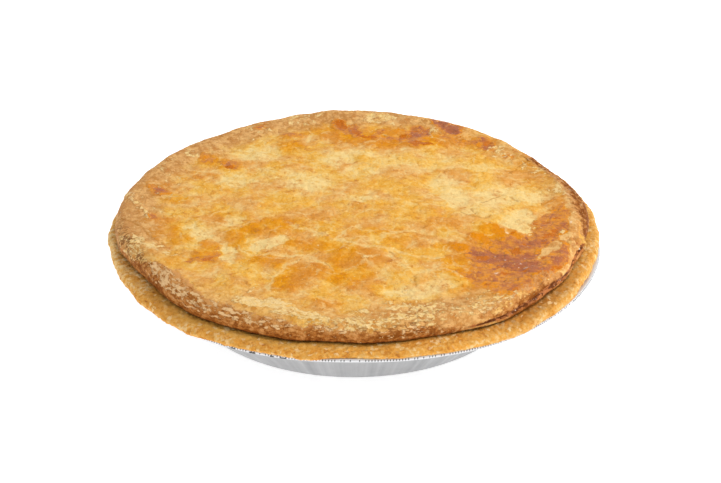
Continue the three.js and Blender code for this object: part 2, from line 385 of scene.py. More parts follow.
foil_material, tree, shader = new_material("satin_foil")
place = own_place(tree)
streaks = noise_value(tree, heading(tree, place), STREAKS_ROUND, 4, 0.6)
dents = noise_value(tree, place, 1 / DENT_SIZE, 3)
bead = stored(tree, "bead")
groove = stored(tree, "groove")
groove = add_node(tree, "ShaderNodeMapRange", Value=groove, From_Min=0.4, From_Max=0.65)
grey = ramp(tree, streaks, (0.3, 0.7), (FOIL_DARK, FOIL_LIGHT))
# The bead's upper half is painted a paler grey: a painted highlight
grey = mix(tree, bead, grey, BEAD_HIGHLIGHT_GREY)
# The knurl's grooves are painted near black as painted shade
grey = mix(tree, groove.outputs[0], grey, GROOVE_SHADE_BLACK)
relief = arithmetic(tree, "ADD", streaks, dents)
connect(
    tree,
    shader,
    Base_Color=grey,
    Metallic=between(tree, bead, 0.9, 0.5),
    Roughness=between(tree, dents, 0.28, 0.5),
    Normal=relief_normal(tree, relief, 0.4 * MM, 0.5),
)
foil_pan.data.materials.append(foil_material)
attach(foil_pan, "root")
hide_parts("foil_pan")

# Bottom crust
# Short pastry pressed into the pan and filled. It spreads over the flange as a thick, sandy
# ring that was trimmed by hand, so its edge wavers, droops and is dented in places.
PIE_RADIUS = 115 * MM
REST_GAP = 0.3 * MM
FLANGE_BOTTOM = PAN_DEPTH + REST_GAP
FLANGE_THICKNESS = 5 * MM
FLANGE_TOP = FLANGE_BOTTOM + FLANGE_THICKNESS
FLANGE_RISE = 0.6 * MM
SHELL_TOP = FLANGE_TOP + FLANGE_RISE
SHELL_INSET = 0.8 * MM
EDGE_ROUNDING = 2.6 * MM
EDGE_STEP = 0.6 * MM
FLANGE_INSIDE = 103 * MM
FLANGE_STEPS = 1080
FLANGE_RINGS = 18
EDGE_RINGS = 14
EDGE_WAVER = 0.45 * MM
REST_DEPTH = 0.4 * MM
SAND_SIZE = 2.4 * MM
SAND_HEIGHT = 0.24 * MM
CRUMB_SIZE = 1.2 * MM
CRUMB_HEIGHT = 0.18 * MM
# Where the edge is dented in or drawn out, lifted by the pan's rim and drooping, measured like
# the bends of the rim
EDGE_DENTS = [(269, 10, -1.0), (338, 12, -1.6), (205, 20, -0.6), (274, 40, -1.6), (8, 14, 1.0)]
EDGE_LIFTS = [(264, 66, 2.1)]
EDGE_DROOPS = [(230, 14, 0.6), (259, 5, 1.0), (306, 18, 0.6), (6, 16, 0.6)]
# The edge of the top crust that lies on it and how that bulges, and where the flange is lit in
# front of that edge or shaded by it, measured the same way
LID_EDGE = 108.2 * MM
ROLL_BULGES = [
    (182, 30, 2.2),
    (212, 22, -2.2),
    (248, 22, -1.7),
    (267, 15, -3.2),
    (280, 10, -1.8),
    (290, 16, -2.4),
    (323, 16, -1.4),
    (338, 9, -1.4),
    (366, 16, 0.9),
    (350, 8, -0.8),
    (390, 28, -2.8),
]
LIT_IN_FRONT = [(243, 44, 1.0)]
SHADED_BY_LID = [(214, 24, 0.15), (244, 26, 0.1), (320, 28, 1.0)]

edge_middle = (PIE_RADIUS - EDGE_ROUNDING, FLANGE_BOTTOM + FLANGE_THICKNESS / 2)
flange_profile = [
    (PAN_FOOT_RADIUS - PAN_CORNER, FOIL + REST_GAP),
    (inner_foot[0] - SHELL_INSET, PAN_CORNER + FOIL),
    (inner_head[0] - SHELL_INSET, PAN_DEPTH - SHOULDER_DROP),
    (PAN_MOUTH_RADIUS - REST_GAP, FLANGE_BOTTOM),
    *arc(edge_middle, EDGE_ROUNDING, FLANGE_THICKNESS / 2, -90, 90, EDGE_RINGS),
    *stretch((edge_middle[0] - EDGE_STEP, FLANGE_TOP), (FLANGE_INSIDE, SHELL_TOP), FLANGE_RINGS),
    (FLANGE_INSIDE, SHELL_TOP),
]
bottom_crust = turn_piece("sandy_bottom_crust", flange_profile, FLANGE_STEPS)


def lumps(places, size, seed=0, octaves=1, roughness=0.5):
    """Random lumps of a size over the places, from about -1 to 1. Each octave is half as wide as
    the one before, and its height is that one's times the roughness."""
    shift = Vector((7.3 * seed, 3.1 * seed, 5.7 * seed))
    smoothness = -math.log2(roughness)
    scaled = (Vector(place) / size + shift for place in places)
    return 1.5 * np.array([noise.fractal(place, smoothness, 2.0, octaves) for place in scaled])


# Trimmed edge, then the sandy grain of what shows
places = read_vertices(bottom_crust)
angle, radius = polar(places)
at_edge = smoothstep(radius, PIE_RADIUS - 5 * MM, PIE_RADIUS - 0.8 * MM)
waver = EDGE_WAVER * ripple(angle, [5, 9, 14, 23, 37], 4.4)
push_out(places, angle, (waver + bumps(angle, EDGE_DENTS)) * at_edge)
underside = 1 - smoothstep(places[:, 2], FLANGE_BOTTOM + 0.6 * MM, FLANGE_TOP)
resting = underside * smoothstep(radius, PAN_MOUTH_RADIUS + 4 * MM, PAN_RIM_RADIUS - 3 * MM)
places[:, 2] += (bumps(angle, EDGE_LIFTS) - REST_DEPTH) * resting
drooping = smoothstep(radius, PIE_RADIUS - 7 * MM, PIE_RADIUS - 1 * MM)
places[:, 2] -= bumps(angle, EDGE_DROOPS) * drooping
write_vertices(bottom_crust, places)
shown = smoothstep(radius, FLANGE_INSIDE + 2 * MM, FLANGE_INSIDE + 4 * MM)
shown *= places[:, 2] > PAN_DEPTH
sand = SAND_HEIGHT * lumps(places, SAND_SIZE)
sand += CRUMB_HEIGHT * lumps(places, CRUMB_SIZE, seed=1, octaves=2)
places += (shown * sand)[:, None] * read_vertices(bottom_crust, "normal")
write_vertices(bottom_crust, places)
bottom_crust.data.shade_smooth()
lid_edge = LID_EDGE + bumps(angle, ROLL_BULGES)
# Painted light: the flange's tone is raised on the right and on the far left
painted_light_right = 0.6 * smoothstep(np.cos(angle), 0.35, 1)
painted_light_left = 2.2 * smoothstep(-np.cos(angle), 0.84, 1)
store(
    bottom_crust,
    from_lid=(radius - lid_edge) / MM,
    pale_side=painted_light_right + painted_light_left,
    lit_side=bumps(angle, LIT_IN_FRONT) / MM,
    shaded_side=np.minimum(1, bumps(angle, SHADED_BY_LID) / MM),
)


def tint(red, green, blue):
    """A screen colour, 0 to 255 in each part, as the shader's linear colour."""
    linear = [((part / 255 + 0.055) / 1.055) ** 2.4 for part in (red, green, blue)]
    return (*linear, 1)


def fade(tree, value, low, high):
    """0 at low, 1 at high, and a smooth rise between."""
    settings = {"interpolation_type": "SMOOTHSTEP"}
    node = add_node(tree, "ShaderNodeMapRange", settings, Value=value, From_Min=low, From_Max=high)
    return node.outputs[0]


def times(tree, product, *factors):
    for factor in factors:
        product = arithmetic(tree, "MULTIPLY", product, factor)
    return product


def new_group(name, inputs, outputs):
    """A node group with its input and output nodes; the inputs are given with their kinds."""
    group = bpy.data.node_groups.new(name, "ShaderNodeTree")
    for socket, kind in inputs.items():
        group.interface.new_socket(socket, in_out="INPUT", socket_type=kind)
    for socket in outputs:
        group.interface.new_socket(socket, in_out="OUTPUT", socket_type="NodeSocketFloat")
    return group, group.nodes.new("NodeGroupInput"), group.nodes.new("NodeGroupOutput")


GRAIN_VALUES = ("Blotch", "Grain", "Layers")
# The layers that lie over each other: how many fit in one of the largest, and weight
LAYER_SHARES = [(1.0, 0.36), (2.3, 0.34), (5.2, 0.3)]


def pastry_grain_group():
    """Random mottling, 0 to 1, that every pastry colour and bump shares: soft blotches, fine
    grain, and thin crisp-edged layers that lie over each other."""
    sizes = dict.fromkeys(("Blotch Size", "Grain Size", "Layer Size"), "NodeSocketFloat")
    group, inside, outside = new_group("pastry_grain", sizes, GRAIN_VALUES)
    place = own_place(group)

    def mottle(size, share, detail, low, high):
        scale = arithmetic(group, "DIVIDE", share, inside.outputs[size])
        return fade(group, noise_value(group, place, scale, detail, 0.62), low, high)

    thin_layers = [
        (mottle("Layer Size", share, 4, 0.47, 0.53), weight) for share, weight in LAYER_SHARES
    ]
    connect(
        group,
        outside,
        Blotch=mottle("Blotch Size", 1.0, 5, 0.22, 0.78),
        Grain=mottle("Grain Size", 1.0, 3, 0.22, 0.78),
        Layers=weighted(group, 0.0, *thin_layers),
    )
    return group


pastry_grain = pastry_grain_group()


def add_pastry_grain(tree, **sizes):
    """Places the shared mottling in a material and returns its three values."""
    node = add_node(tree, "ShaderNodeGroup", {"node_tree": pastry_grain}, **sizes)
    return [node.outputs[name] for name in GRAIN_VALUES]


SCALE_VALUES = ("Pick", "Chance", "Tilt")
SCALE_RAGGEDNESS = 1.6


def pastry_scales_group():
    """Small ragged plates of pastry that lie tilted beside each other: two random numbers for
    each plate, 0 to 1, and the height of its tilted face."""
    inputs = {"Place": "NodeSocketVector", "Size": "NodeSocketFloat"}
    group, inside, outside = new_group("pastry_scales", inputs, SCALE_VALUES)
    place, size = inside.outputs["Place"], inside.outputs["Size"]
    scale = arithmetic(group, "DIVIDE", 1, size)
    wander = add_node(group, "ShaderNodeTexNoise", Vector=place, Scale=scale, Detail=4, Roughness=0.65)
    reach = times(group, size, SCALE_RAGGEDNESS)
    stray = vector_math(group, "SCALE", in0=wander.outputs["Color"], Scale=reach)
    ragged = vector_math(group, "ADD", in0=place, in1=stray)
    plate = add_node(group, "ShaderNodeTexVoronoi", Vector=ragged, Scale=scale)
    aside = vector_math(group, "SUBTRACT", in0=ragged, in1=plate.outputs["Position"])
    lean = vector_math(group, "SUBTRACT", in0=plate.outputs["Color"], in1=(0.5, 0.5, 0.5))
    tilt = add_node(group, "ShaderNodeVectorMath", {"operation": "DOT_PRODUCT"}, in0=aside, in1=lean)
    parts = add_node(group, "ShaderNodeSeparateColor", Color=plate.outputs["Color"])
    connect(
        group,
        outside,
        Pick=parts.outputs[0],
        Chance=parts.outputs[1],
        Tilt=arithmetic(group, "DIVIDE", tilt.outputs["Value"], size),
    )
    return group


pastry_scales = pastry_scales_group()


def add_pastry_scales(tree, place, size):
    """Places the shared plates in a material and returns their three values."""
    node = add_node(tree, "ShaderNodeGroup", {"node_tree": pastry_scales}, Place=place, Size=size)
    return [node.outputs[name] for name in SCALE_VALUES]


SAND_BROWN = tint(180, 108, 44)
SAND_GOLD = tint(220, 150, 57)
SAND_STRAW = tint(232, 174, 88)
SAND_CREAM = tint(246, 212, 150)
LIT_GOLD = tint(250, 194, 92)
SHADE_BROWN = tint(166, 98, 34)
UNDER_LID_SHADE_BROWN = tint(190, 104, 22)
CRUMB_CREAM = tint(250, 216, 158)
SPOT_BROWN = tint(178, 98, 36)
FLANGE_CREASE_SHADE = tint(90, 46, 8)
CRUMB_PLATE_SIZE = 1.6 * MM
BROWN_SPOT_SIZE = 3.2 * MM

bottom_material, tree, shader = new_material("sandy_pastry")
blotch, grain, layers = add_pastry_grain(
    tree, Blotch_Size=7 * MM, Grain_Size=1.7 * MM, Layer_Size=6 * MM
)
place = own_place(tree)
pick, chance, tilt = add_pastry_scales(tree, place, CRUMB_PLATE_SIZE)
from_lid = weighted(tree, -0.4, (stored(tree, "from_lid"), 1), (grain, 0.8))
shaded_side = stored(tree, "shaded_side")
tone = weighted(tree, 0.06, (grain, 0.28), (blotch, 0.26), (layers, 0.12), (pick, 0.24))
# Painted light on the flange's right and far left
tone = weighted(tree, tone, (stored(tree, "pale_side"), 0.07))
colour = ramp(tree, tone, (0.2, 0.4, 0.6, 0.82), (SAND_BROWN, SAND_GOLD, SAND_STRAW, SAND_CREAM))
lit = times(tree, fade(tree, from_lid, 6, 2), stored(tree, "lit_side"), 0.65)
colour = mix(tree, lit, colour, LIT_GOLD)
shade = times(tree, fade(tree, from_lid, 10, 2), shaded_side, 0.6)
colour = mix(tree, shade, colour, SHADE_BROWN)
# Painted shade on the flange just under the top crust's edge
under_lid_shade = times(tree, fade(tree, from_lid, 2.4, 0.2), 0.25)
colour = mix(tree, under_lid_shade, colour, UNDER_LID_SHADE_BROWN)
crumbs = times(tree, fade(tree, chance, 0.88, 0.94), 0.6)
colour = mix(tree, crumbs, colour, CRUMB_CREAM)
brown_spots = noise_value(tree, place, 1 / BROWN_SPOT_SIZE, 3)
colour = mix(tree, times(tree, fade(tree, brown_spots, 0.36, 0.3), 0.5), colour, SPOT_BROWN)
# Painted shade in the crease where the flange meets the top crust's edge
flange_crease_shade = times(tree, fade(tree, from_lid, 0.9, 0.2), shaded_side, 0.5)
colour = mix(tree, flange_crease_shade, colour, FLANGE_CREASE_SHADE)
relief = weighted(tree, 0.0, (grain, 0.5), (layers, 0.3), (tilt, 1.2))
connect(
    tree,
    shader,
    Base_Color=colour,
    Roughness=0.72,
    Specular_IOR_Level=0.12,
    Normal=relief_normal(tree, relief, 0.6 * MM, 0.8),
)
bottom_crust.data.materials.append(bottom_material)
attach(bottom_crust, "root")
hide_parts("bottom_crust")

# Top crust
# A thick sheet of flaky pastry, its edge rolled over into a lip round a slightly sunken,
# blistered field, brushed with egg that baked dark where it pooled. The lip's outer layer
# has flaked off in front and on the left, and on the right the roll has split in two.
LID_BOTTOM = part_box("top_crust")[0].z
LIP_TOP = SHELL_TOP + 10 * MM
LID_RADIUS = 109.4 * MM
LIP_RADIUS = LID_RADIUS - 6.5 * MM
UNDERCUT = LID_RADIUS - LID_EDGE
GAP_UNDER_EDGE = 0.3 * MM
UNDER_RADIUS = 100 * MM
ROLL_HEIGHT = LIP_TOP - LID_BOTTOM
WIDEST_SHARE = 0.4
FIELD_SINK = 1.2 * MM
FIELD_BORDER = LIP_RADIUS - 13 * MM
DOME_RISE = 1.4 * MM
ROLL_WAVER = 0.25 * MM
SPLIT_DEPTH = 1.4 * MM
FIRST_CUTS = 49
SECOND_CUTS = 2
FIELD_RINGS = (FIRST_CUTS + 1) * (SECOND_CUTS + 1)
LID_STEPS = 6 * FIELD_RINGS
OVER_RINGS = 19
UNDER_RINGS = 9
# Rises of the lip, and where it is set back on the right and pinched into a notch, measured like
# the bends of the rim
LIP_RISES = [(91, 26, 1.3), (158, 30, 1.1), (128, 14, -1.0), (40, 36, -1.8)]
RIGHT_SET_BACK = [(365, 18, 1.7)]
PINCH = [(346, 7, 1.2)]
# Swells of the field: height and length of a wave in mm, turn in radians
FIELD_SWELLS = [(0.5, 62, 0.4), (0.35, 34, 1.1), (0.3, 19, 0.2)]
# The split in the roll: angle, mm down from the lip, half height in mm
SPLIT = [
    (294, 11.8, 0.0),
    (302, 11.0, 0.8),
    (311, 10.4, 1.3),
    (317, 10.2, 1.6),
    (323, 10.2, 1.8),
    (330, 10.2, 1.8),
    (335, 10.0, 1.7),
    (338, 9.2, 1.5),
    (341, 8.0, 1.3),
    (345, 8.6, 0.6),
    (349, 7.5, 0.0),
]
# The pale lip over it: angle, mm down from the lip where it starts and ends
LIP_RIBBON = [
    (296, 4.0, 4.0),
    (304, 7.4, 8.6),
    (311, 7.0, 8.8),
    (318, 6.2, 8.6),
    (323, 5.6, 8.2),
    (329, 5.8, 8.2),
    (333, 5.8, 8.0),
    (336, 5.0, 7.4),
    (339, 4.0, 7.0),
    (342, 1.6, 7.0),
    (345, 0.4, 6.0),
    (349, -0.6, 4.6),
    (353, -1.4, 3.0),
    (358, -1.6, 2.2),
    (364, -1.8, 1.8),
    (372, -2.0, 1.6),
    (386, 0.0, 0.0),
]
# Knobs of pastry at the end of the split: angle, mm down, half width and height in mm
KNOBS = [
    (342, 2.6, 2.4, 0.9),
    (344.5, 5.2, 2.2, 1.1),
    (346, 8.2, 2.0, 1.1),
    (341, 5.6, 1.8, 0.9),
    (343.5, 9.2, 1.8, 1.0),
]

widest = (LIP_RADIUS, LID_BOTTOM + WIDEST_SHARE * ROLL_HEIGHT)
under = (LID_RADIUS - UNDERCUT, widest[1])
under_height = widest[1] - LID_BOTTOM - GAP_UNDER_EDGE
roll_profile = [
    (UNDER_RADIUS, LID_BOTTOM),
    *arc(under, UNDERCUT, under_height, -90, 0, UNDER_RINGS)[:-1],
    *arc(widest, LID_RADIUS - LIP_RADIUS, LIP_TOP - widest[1], 0, 90, OVER_RINGS),
]
top_crust = turn_piece("flaky_top_crust", roll_profile, LID_STEPS)

# The roll's top face gives way to a field of even triangles
bpy.ops.object.mode_set(mode="EDIT")
bpy.ops.mesh.select_all(action="DESELECT")
bpy.ops.object.mode_set(mode="OBJECT")
for face in top_crust.data.polygons:
    face.select = len(face.vertices) == LID_STEPS and face.center.z > widest[1]
bpy.ops.object.mode_set(mode="EDIT")
bpy.ops.mesh.delete(type="ONLY_FACE")
bpy.ops.object.mode_set(mode="OBJECT")

bpy.ops.object.select_all(action="DESELECT")
bpy.ops.mesh.primitive_circle_add(vertices=6, radius=LIP_RADIUS, fill_type="TRIFAN")
field = bpy.context.object
bpy.ops.object.mode_set(mode="EDIT")
bpy.ops.mesh.subdivide(number_cuts=FIRST_CUTS)
bpy.ops.mesh.subdivide(number_cuts=SECOND_CUTS)
bpy.ops.object.mode_set(mode="OBJECT")


def round_hexagon(places):
    """Spreads a hexagon with a corner on +Y into a disc, ring by ring."""
    angle, reach = polar(places)
    turn = angle - math.pi / 2
    sixth = math.pi / 3
    sector = np.floor(turn / sixth + 1e-9)
    side = turn - (sector + 0.5) * sixth
    across = reach * np.cos(side) / math.cos(sixth / 2)
    along = np.tan(side) / math.tan(sixth / 2)
    new_turn = math.pi / 2 + (sector + 0.5 + 0.5 * along) * sixth
    places[:, 0] = across * np.cos(new_turn)
    places[:, 1] = across * np.sin(new_turn)


places = read_vertices(field)
round_hexagon(places)
places[:, 2] = LIP_TOP
write_vertices(field, places)
top_crust.select_set(True)
bpy.context.view_layer.objects.active = top_crust
bpy.ops.object.join()
bpy.ops.object.mode_set(mode="EDIT")
bpy.ops.mesh.select_all(action="SELECT")
bpy.ops.mesh.remove_doubles(threshold=0.05 * MM)
bpy.ops.mesh.normals_make_consistent(inside=False)
bpy.ops.object.mode_set(mode="OBJECT")

# Where the field browned, and where it stayed pale: x and y in mm from the middle of the lid, half
# length and half width in mm, turn in degrees, strength. Past the lip, the mm go on down the roll.
TOASTED = [
    (46, -50, 11, 5, 4, 0.28),
    (48, -62, 10, 7, 10, 0.24),
    (56, -72, 8, 4, 16, 0.2),
    (-6, 89, 8, 4, -60, 0.4),
    (0, 79, 6, 4, -70, 0.4),
    (-5, 74, 9, 4, 0, 0.3),
    (33, 84, 8, 6, 0, 0.3),
    (48, 86, 10, 8, -38, 0.3),
    (31, 71, 7, 5, 0, 0.4),
    (10, 75, 9, 4, 0, 0.3),
    (8, 69, 18, 4.6, 0, 0.4),
    (30, 69, 14, 5, 0, 0.4),
    (26, 80, 6, 5, 0, 0.42),
    (18, 80, 8, 4, 0, 0.3),
    (38, 75, 9, 6, -10, 0.3),
    (55, 74, 12, 6, -15, 0.3),
    (66, 72, 7, 8, 20, 0.3),
    (30, 78, 42, 10, -4, 0.2),
    (-15, 82, 12, 9, 0, 0.25),
    (-31, 79, 8, 4, 10, 0.3),
    (-32, 67, 10, 7, 10, 0.24),
    (-72, 52, 7, 6, 0, 0.3),
    (-64, 46, 12, 6, -35, 0.24),
    (-75, 35, 8, 6, 0, 0.2),
    (-94, 20, 10, 7, -30, 0.3),
    (-83, 9, 8, 3.6, 0, 0.26),
    (-92, -9, 9, 4, -30, 0.34),
    (-88, -22, 17, 9, -35, 0.3),
    (-82, -49, 9, 4, -35, 0.14),
    (-86, -46, 8, 5, -30, 0.18),
    (-65, -45, 8, 7, 0, 0.4),
    (-65, -34, 5, 3.6, 0, 0.3),
    (-54, -32, 5, 7, 0, 0.36),
    (-53, -23, 6, 5, 0, 0.28),
    (-63, -9, 9, 7, 0, 0.22),
    (-40, -18, 13, 9, 20, 0.34),
    (-29, -25, 8, 5, 0, 0.22),
    (-19, -36, 15, 7, -10, 0.3),
    (-2, -28, 9, 5, 0, 0.2),
    (0, -48, 18, 10, -5, 0.3),
    (-38, -50, 10, 6, 0, 0.34),
    (-22, -60, 12, 8, 10, 0.4),
    (-29, -70, 9, 7, 0, 0.34),
    (0, -66, 11, 8, 10, 0.3),
    (-11, -62, 8, 7, 0, 0.24),
    (-11, -88, 9, 4, 0, 0.26),
    (40, -16, 10, 8, 0, 0.22),
    (10, -73, 7, 4, 0, 0.14),
    (-20, -12, 14, 6, -12, 0.16),
    (10, -22, 12, 6, 0, 0.16),
    (24, -34, 14, 8, 0, 0.18),
    (45, -38, 9, 4, -8, 0.4),
    (56, -29, 6, 6, 0, 0.4),
    (65, -24, 8, 11, 0, 0.5),
    (74, -25, 6, 6, 0, 0.5),
    (66, -48, 26, 24, 15, 0.26),
    (58, -72, 18, 9, 20, 0.22),
    (85, 52, 8, 7, 60, 0.3),
    (97, 6, 6, 7, 0, 0.34),
    (83, 38, 12, 14, 0, 0.14),
]
PALE = [
    (-47, 60, 11, 11, 20, 0.34),
    (-22, 27, 13, 12, 0, 0.36),
    (-56, 30, 10, 9, 0, 0.34),
    (-36, 36, 12, 6, 0, 0.16),
    (-8, 52, 10, 8, 0, 0.28),
    (2, 57, 11, 5, 0, 0.22),
    (48, 10, 7, 11, 0, 0.5),
    (43, 27, 9, 8, 0, 0.3),
    (73, 14, 21, 11, 0, 0.32),
    (62, 0, 14, 9, 20, 0.24),
    (-61, -62, 6, 6, 0, 0.16),
    (-84, -45, 7, 4, -35, 0.14),
    (64, 43, 10, 6, 0, 0.22),
    (-72, -22, 6, 13, 25, 0.36),
    (-55, -12, 6, 7, 0, 0.34),
    (-38, -34, 10.5, 4.2, 28, 0.8),
    (-57, -43, 3.2, 10, 5, 0.5),
    (2, 9, 10, 4, 0, 0.36),
    (25, -78, 12, 6, 0, 0.3),
    (40, -70, 12, 6, 20, 0.2),
    (12, 97, 8, 5, 0, 0.3),
    (30, 50, 28, 14, 0, 0.12),
    (3, 38, 9, 6, 0, 0.2),
]
# Where the egg wash pooled and baked dark, first the whole pool and then its darkest parts: how
# dark, and the outline in mm
POOLED = [
    (
        0.52,
        [
            (92, -6), (97, 2), (99, 3), (100, 0), (101, -4), (100, -13), (100, -21), (98, -25),
            (95, -27), (94, -30), (96, -34), (99, -38), (101, -42), (100, -47), (98, -52),
            (95, -57), (90, -61), (86, -65), (82, -69), (77, -74), (71, -78), (66, -79), (62, -78),
            (59, -75), (56, -72), (53, -68), (52, -60), (54, -54), (52, -47), (53, -42), (56, -38),
            (60, -36), (64, -33), (67, -32), (70, -29), (73, -28), (76, -30), (79, -29), (82, -26),
            (86, -19), (88, -12), (90, -9),
        ],
    ),
    (
        0.95,
        [
            (52, -42), (58, -40), (62, -42), (66, -40), (68, -42), (71, -47), (75, -43), (79, -40),
            (84, -40), (84, -44), (81, -49), (85, -51), (87, -57), (87, -61), (82, -63), (78, -64),
            (74, -62), (69, -60), (67, -56), (65, -53), (61, -54), (55, -52), (52, -47),
        ],
    ),
    (0.95, [(87, -51), (89, -46), (92, -45), (96, -44), (96, -48), (92, -53), (88, -55)]),
    (0.75, [(63, -74), (65, -69), (69, -69), (73, -71), (72, -77), (67, -80), (64, -78)]),
    (
        0.66,
        [
            (69, -33), (73, -29), (79, -27), (83, -28), (87, -30), (89, -26), (92, -26), (90, -32),
            (86, -37), (83, -40), (78, -39), (72, -37),
        ],
    ),
]
# Where it is thin and clear amber, measured the same way
AMBER_POOLS = [
    (
        1.0,
        [
            (63, -19), (65, -15), (67, -17), (68, -22), (69, -27), (68, -31), (66, -29), (64, -26),
            (62, -24),
        ],
    ),
    (1.0, [(52, -28), (55, -26), (59, -26), (61, -31), (63, -36), (60, -36), (57, -31), (54, -30)]),
    (1.0, [(43, -38), (46, -36), (50, -36), (52, -40), (54, -44), (51, -42), (46, -42)]),
    (1.0, [(71, -25), (73, -22), (75, -23), (76, -26), (78, -26), (77, -31), (75, -30), (73, -28)]),
    (0.6, [(2, 75), (6, 77), (10, 74), (8, 71), (4, 71)]),
    (0.5, [(20, 84), (23, 88), (26, 85), (24, 81), (21, 81)]),
    (0.5, [(35, 74), (37, 77), (40, 75), (38, 71)]),
]
# Spots in the glaze that baked darker orange, measured like the browning
SCORCHED = [
    (57, -47, 4, 2.4, 0, 1.0),
    (72, -41, 3.4, 2.6, 10, 0.8),
    (78, -36, 2.4, 1.6, 0, 0.8),
    (68, -61, 3, 1.2, 0, 0.9),
    (76, -59, 3.4, 1.6, 5, 0.9),
    (84, -62, 4, 1.6, 30, 1.0),
    (91, -56, 5, 1.6, 48, 1.0),
    (84, -49, 4, 1.0, 10, 0.9),
    (65, -55, 1.6, 1.6, 0, 0.8),
    (87, -33, 4, 1.4, 30, 0.8),
    (92, -22, 2.8, 2.6, 0, 1.0),
    (91, -27, 6, 3.2, 0, 0.9),
    (95, -10, 3, 1.4, 0, 0.9),
    (85, -14, 1.6, 1.6, 0, 0.8),
    (90, -13, 3, 1.2, 0, 0.7),
    (87, -29, 2, 1.6, 30, 0.8),
    (71, -77, 3.4, 2.4, 20, 0.9),
    (73, -24, 2.4, 2.4, 0, 0.7),
    (58, -72, 3, 2, 0, 0.7),
    (31, 70, 3.2, 2.6, 0, 1.0),
    (30, 84, 5, 2, 0, 0.8),
    (-6, 90, 6, 3, -60, 1.0),
    (1, 80, 6, 2.6, -60, 1.0),
    (8, 76, 6, 2.6, 0, 0.8),
    (25, 79, 5, 3.4, 0, 0.8),
    (34, 68, 8, 3, 0, 0.8),
    (14, 81, 1.8, 3.4, 0, 0.8),
    (52, 79, 3, 1.6, 0, 0.8),
    (66, 72, 4, 3, 30, 0.7),
    (-61, 42, 3.4, 2.6, -40, 0.9),
    (-65, -48, 4, 1.8, 30, 0.7),
    (-89, 17, 3, 1.6, 0, 0.4),
    (-90, -10, 3, 1.2, -30, 0.5),
    (-74, 52, 3, 2, 0, 0.6),
]
# Highlights on the wettest glaze, measured like the browning
GLINTS = [(63, -61, 1.0, 0.7, 20, 0.6), (70, -25, 0.6, 1.1, 0, 0.6), (101, -15, 0.7, 1.2, 0, 0.5)]
# Smaller patches of egg wash that baked dark: how dark, and the outline in mm
GLAZED = [
    (
        0.34,
        [
            (4, 79), (13, 77), (22, 78), (30, 76), (38, 75), (38, 71), (30, 72), (22, 73), (14, 73),
            (6, 76),
        ],
    ),
    (0.34, [(49, 76), (55, 76), (61, 75), (69, 73), (68, 68), (60, 69), (54, 72), (50, 73)]),
    (0.8, [(25, 84), (29, 88), (34, 89), (38, 86), (39, 79), (34, 75), (26, 75)]),
    (
        1.05,
        [(38, 95), (42, 96), (46, 95), (50, 92), (54, 89), (55, 82), (51, 80), (46, 83), (43, 88)],
    ),
    (0.6, [(62, 78), (68, 77), (71, 72), (69, 64), (64, 65), (61, 70)]),
    (0.55, [(-11, 96), (-4, 93), (1, 87), (5, 78), (2, 73), (-5, 80), (-10, 88)]),
    (0.55, [(27, 75), (33, 75), (36, 68), (28, 65)]),
    (0.7, [(11, 83), (14, 86), (16, 80), (14, 76), (11, 78)]),
    (0.45, [(43, 79), (46, 81), (50, 78), (48, 74), (44, 75)]),
    (0.4, [(72, 60), (76, 63), (80, 58), (77, 55)]),
    (0.4, [(-53, 88), (-47, 93), (-44, 89), (-48, 85)]),
    (0.22, [(-36, 81), (-29, 82), (-25, 77), (-29, 75), (-35, 77)]),
    (0.4, [(-65, 49), (-61, 49), (-57, 45), (-56, 41), (-60, 39), (-64, 43)]),
    (0.32, [(-77, 55), (-72, 57), (-67, 51), (-71, 47), (-75, 49)]),
    (0.9, [(-99, 21), (-96, 23), (-91, 20), (-86, 15), (-91, 13), (-96, 16)]),
    (0.6, [(-97, -8), (-94, -6), (-90, -8), (-87, -12), (-91, -13), (-95, -12)]),
    (
        0.26,
        [
            (-67, -44), (-64, -37), (-61, -34), (-60, -39), (-60, -46), (-63, -51), (-66, -51),
            (-73, -50),
        ],
    ),
    (0.3, [(-77, -51), (-72, -46), (-70, -48), (-74, -52)]),
]
# Blisters in the dark glaze that stayed orange, measured like the browning
BLISTERS = [
    (73, -41, 6, 3, 10, 0.6),
    (76, -59, 6, 2.4, 8, 0.6),
    (57, -47, 5, 3, 0, 0.6),
    (73, -67, 7, 3, 10, 0.6),
    (67, -61, 5, 2, 5, 0.5),
    (85, -54, 7, 3, 40, 0.7),
    (81, -62, 5, 2.4, 30, 0.6),
    (91, -21, 5, 4, 0, 0.3),
    (94, -10, 6, 5, 0, 0.35),
    (88, -27, 5, 4, 0, 0.4),
    (62, -72, 8, 4, 10, 0.5),
    (56, -60, 7, 8, 0, 0.4),
    (64, -38, 6, 4, 0, 0.4),
]
# A pale plate beside the pool, and tan islands in it that have no glaze: outlines in mm
PALE_PLATE = [
    (68, -7), (74, 0), (79, 1), (83, -2), (85, -7), (86, -12), (85, -19), (83, -26), (81, -28),
    (78, -24), (74, -22), (70, -19), (67, -13),
]
TAN_ISLANDS = [
    [
        (83, -47), (84, -44), (85, -41), (87, -38), (89, -35), (92, -32), (94, -34), (94, -39),
        (91, -42), (89, -43), (86, -46), (83, -49),
    ],
    [(95, -27), (98, -25), (102, -28), (100, -34), (97, -33), (95, -31)],
]
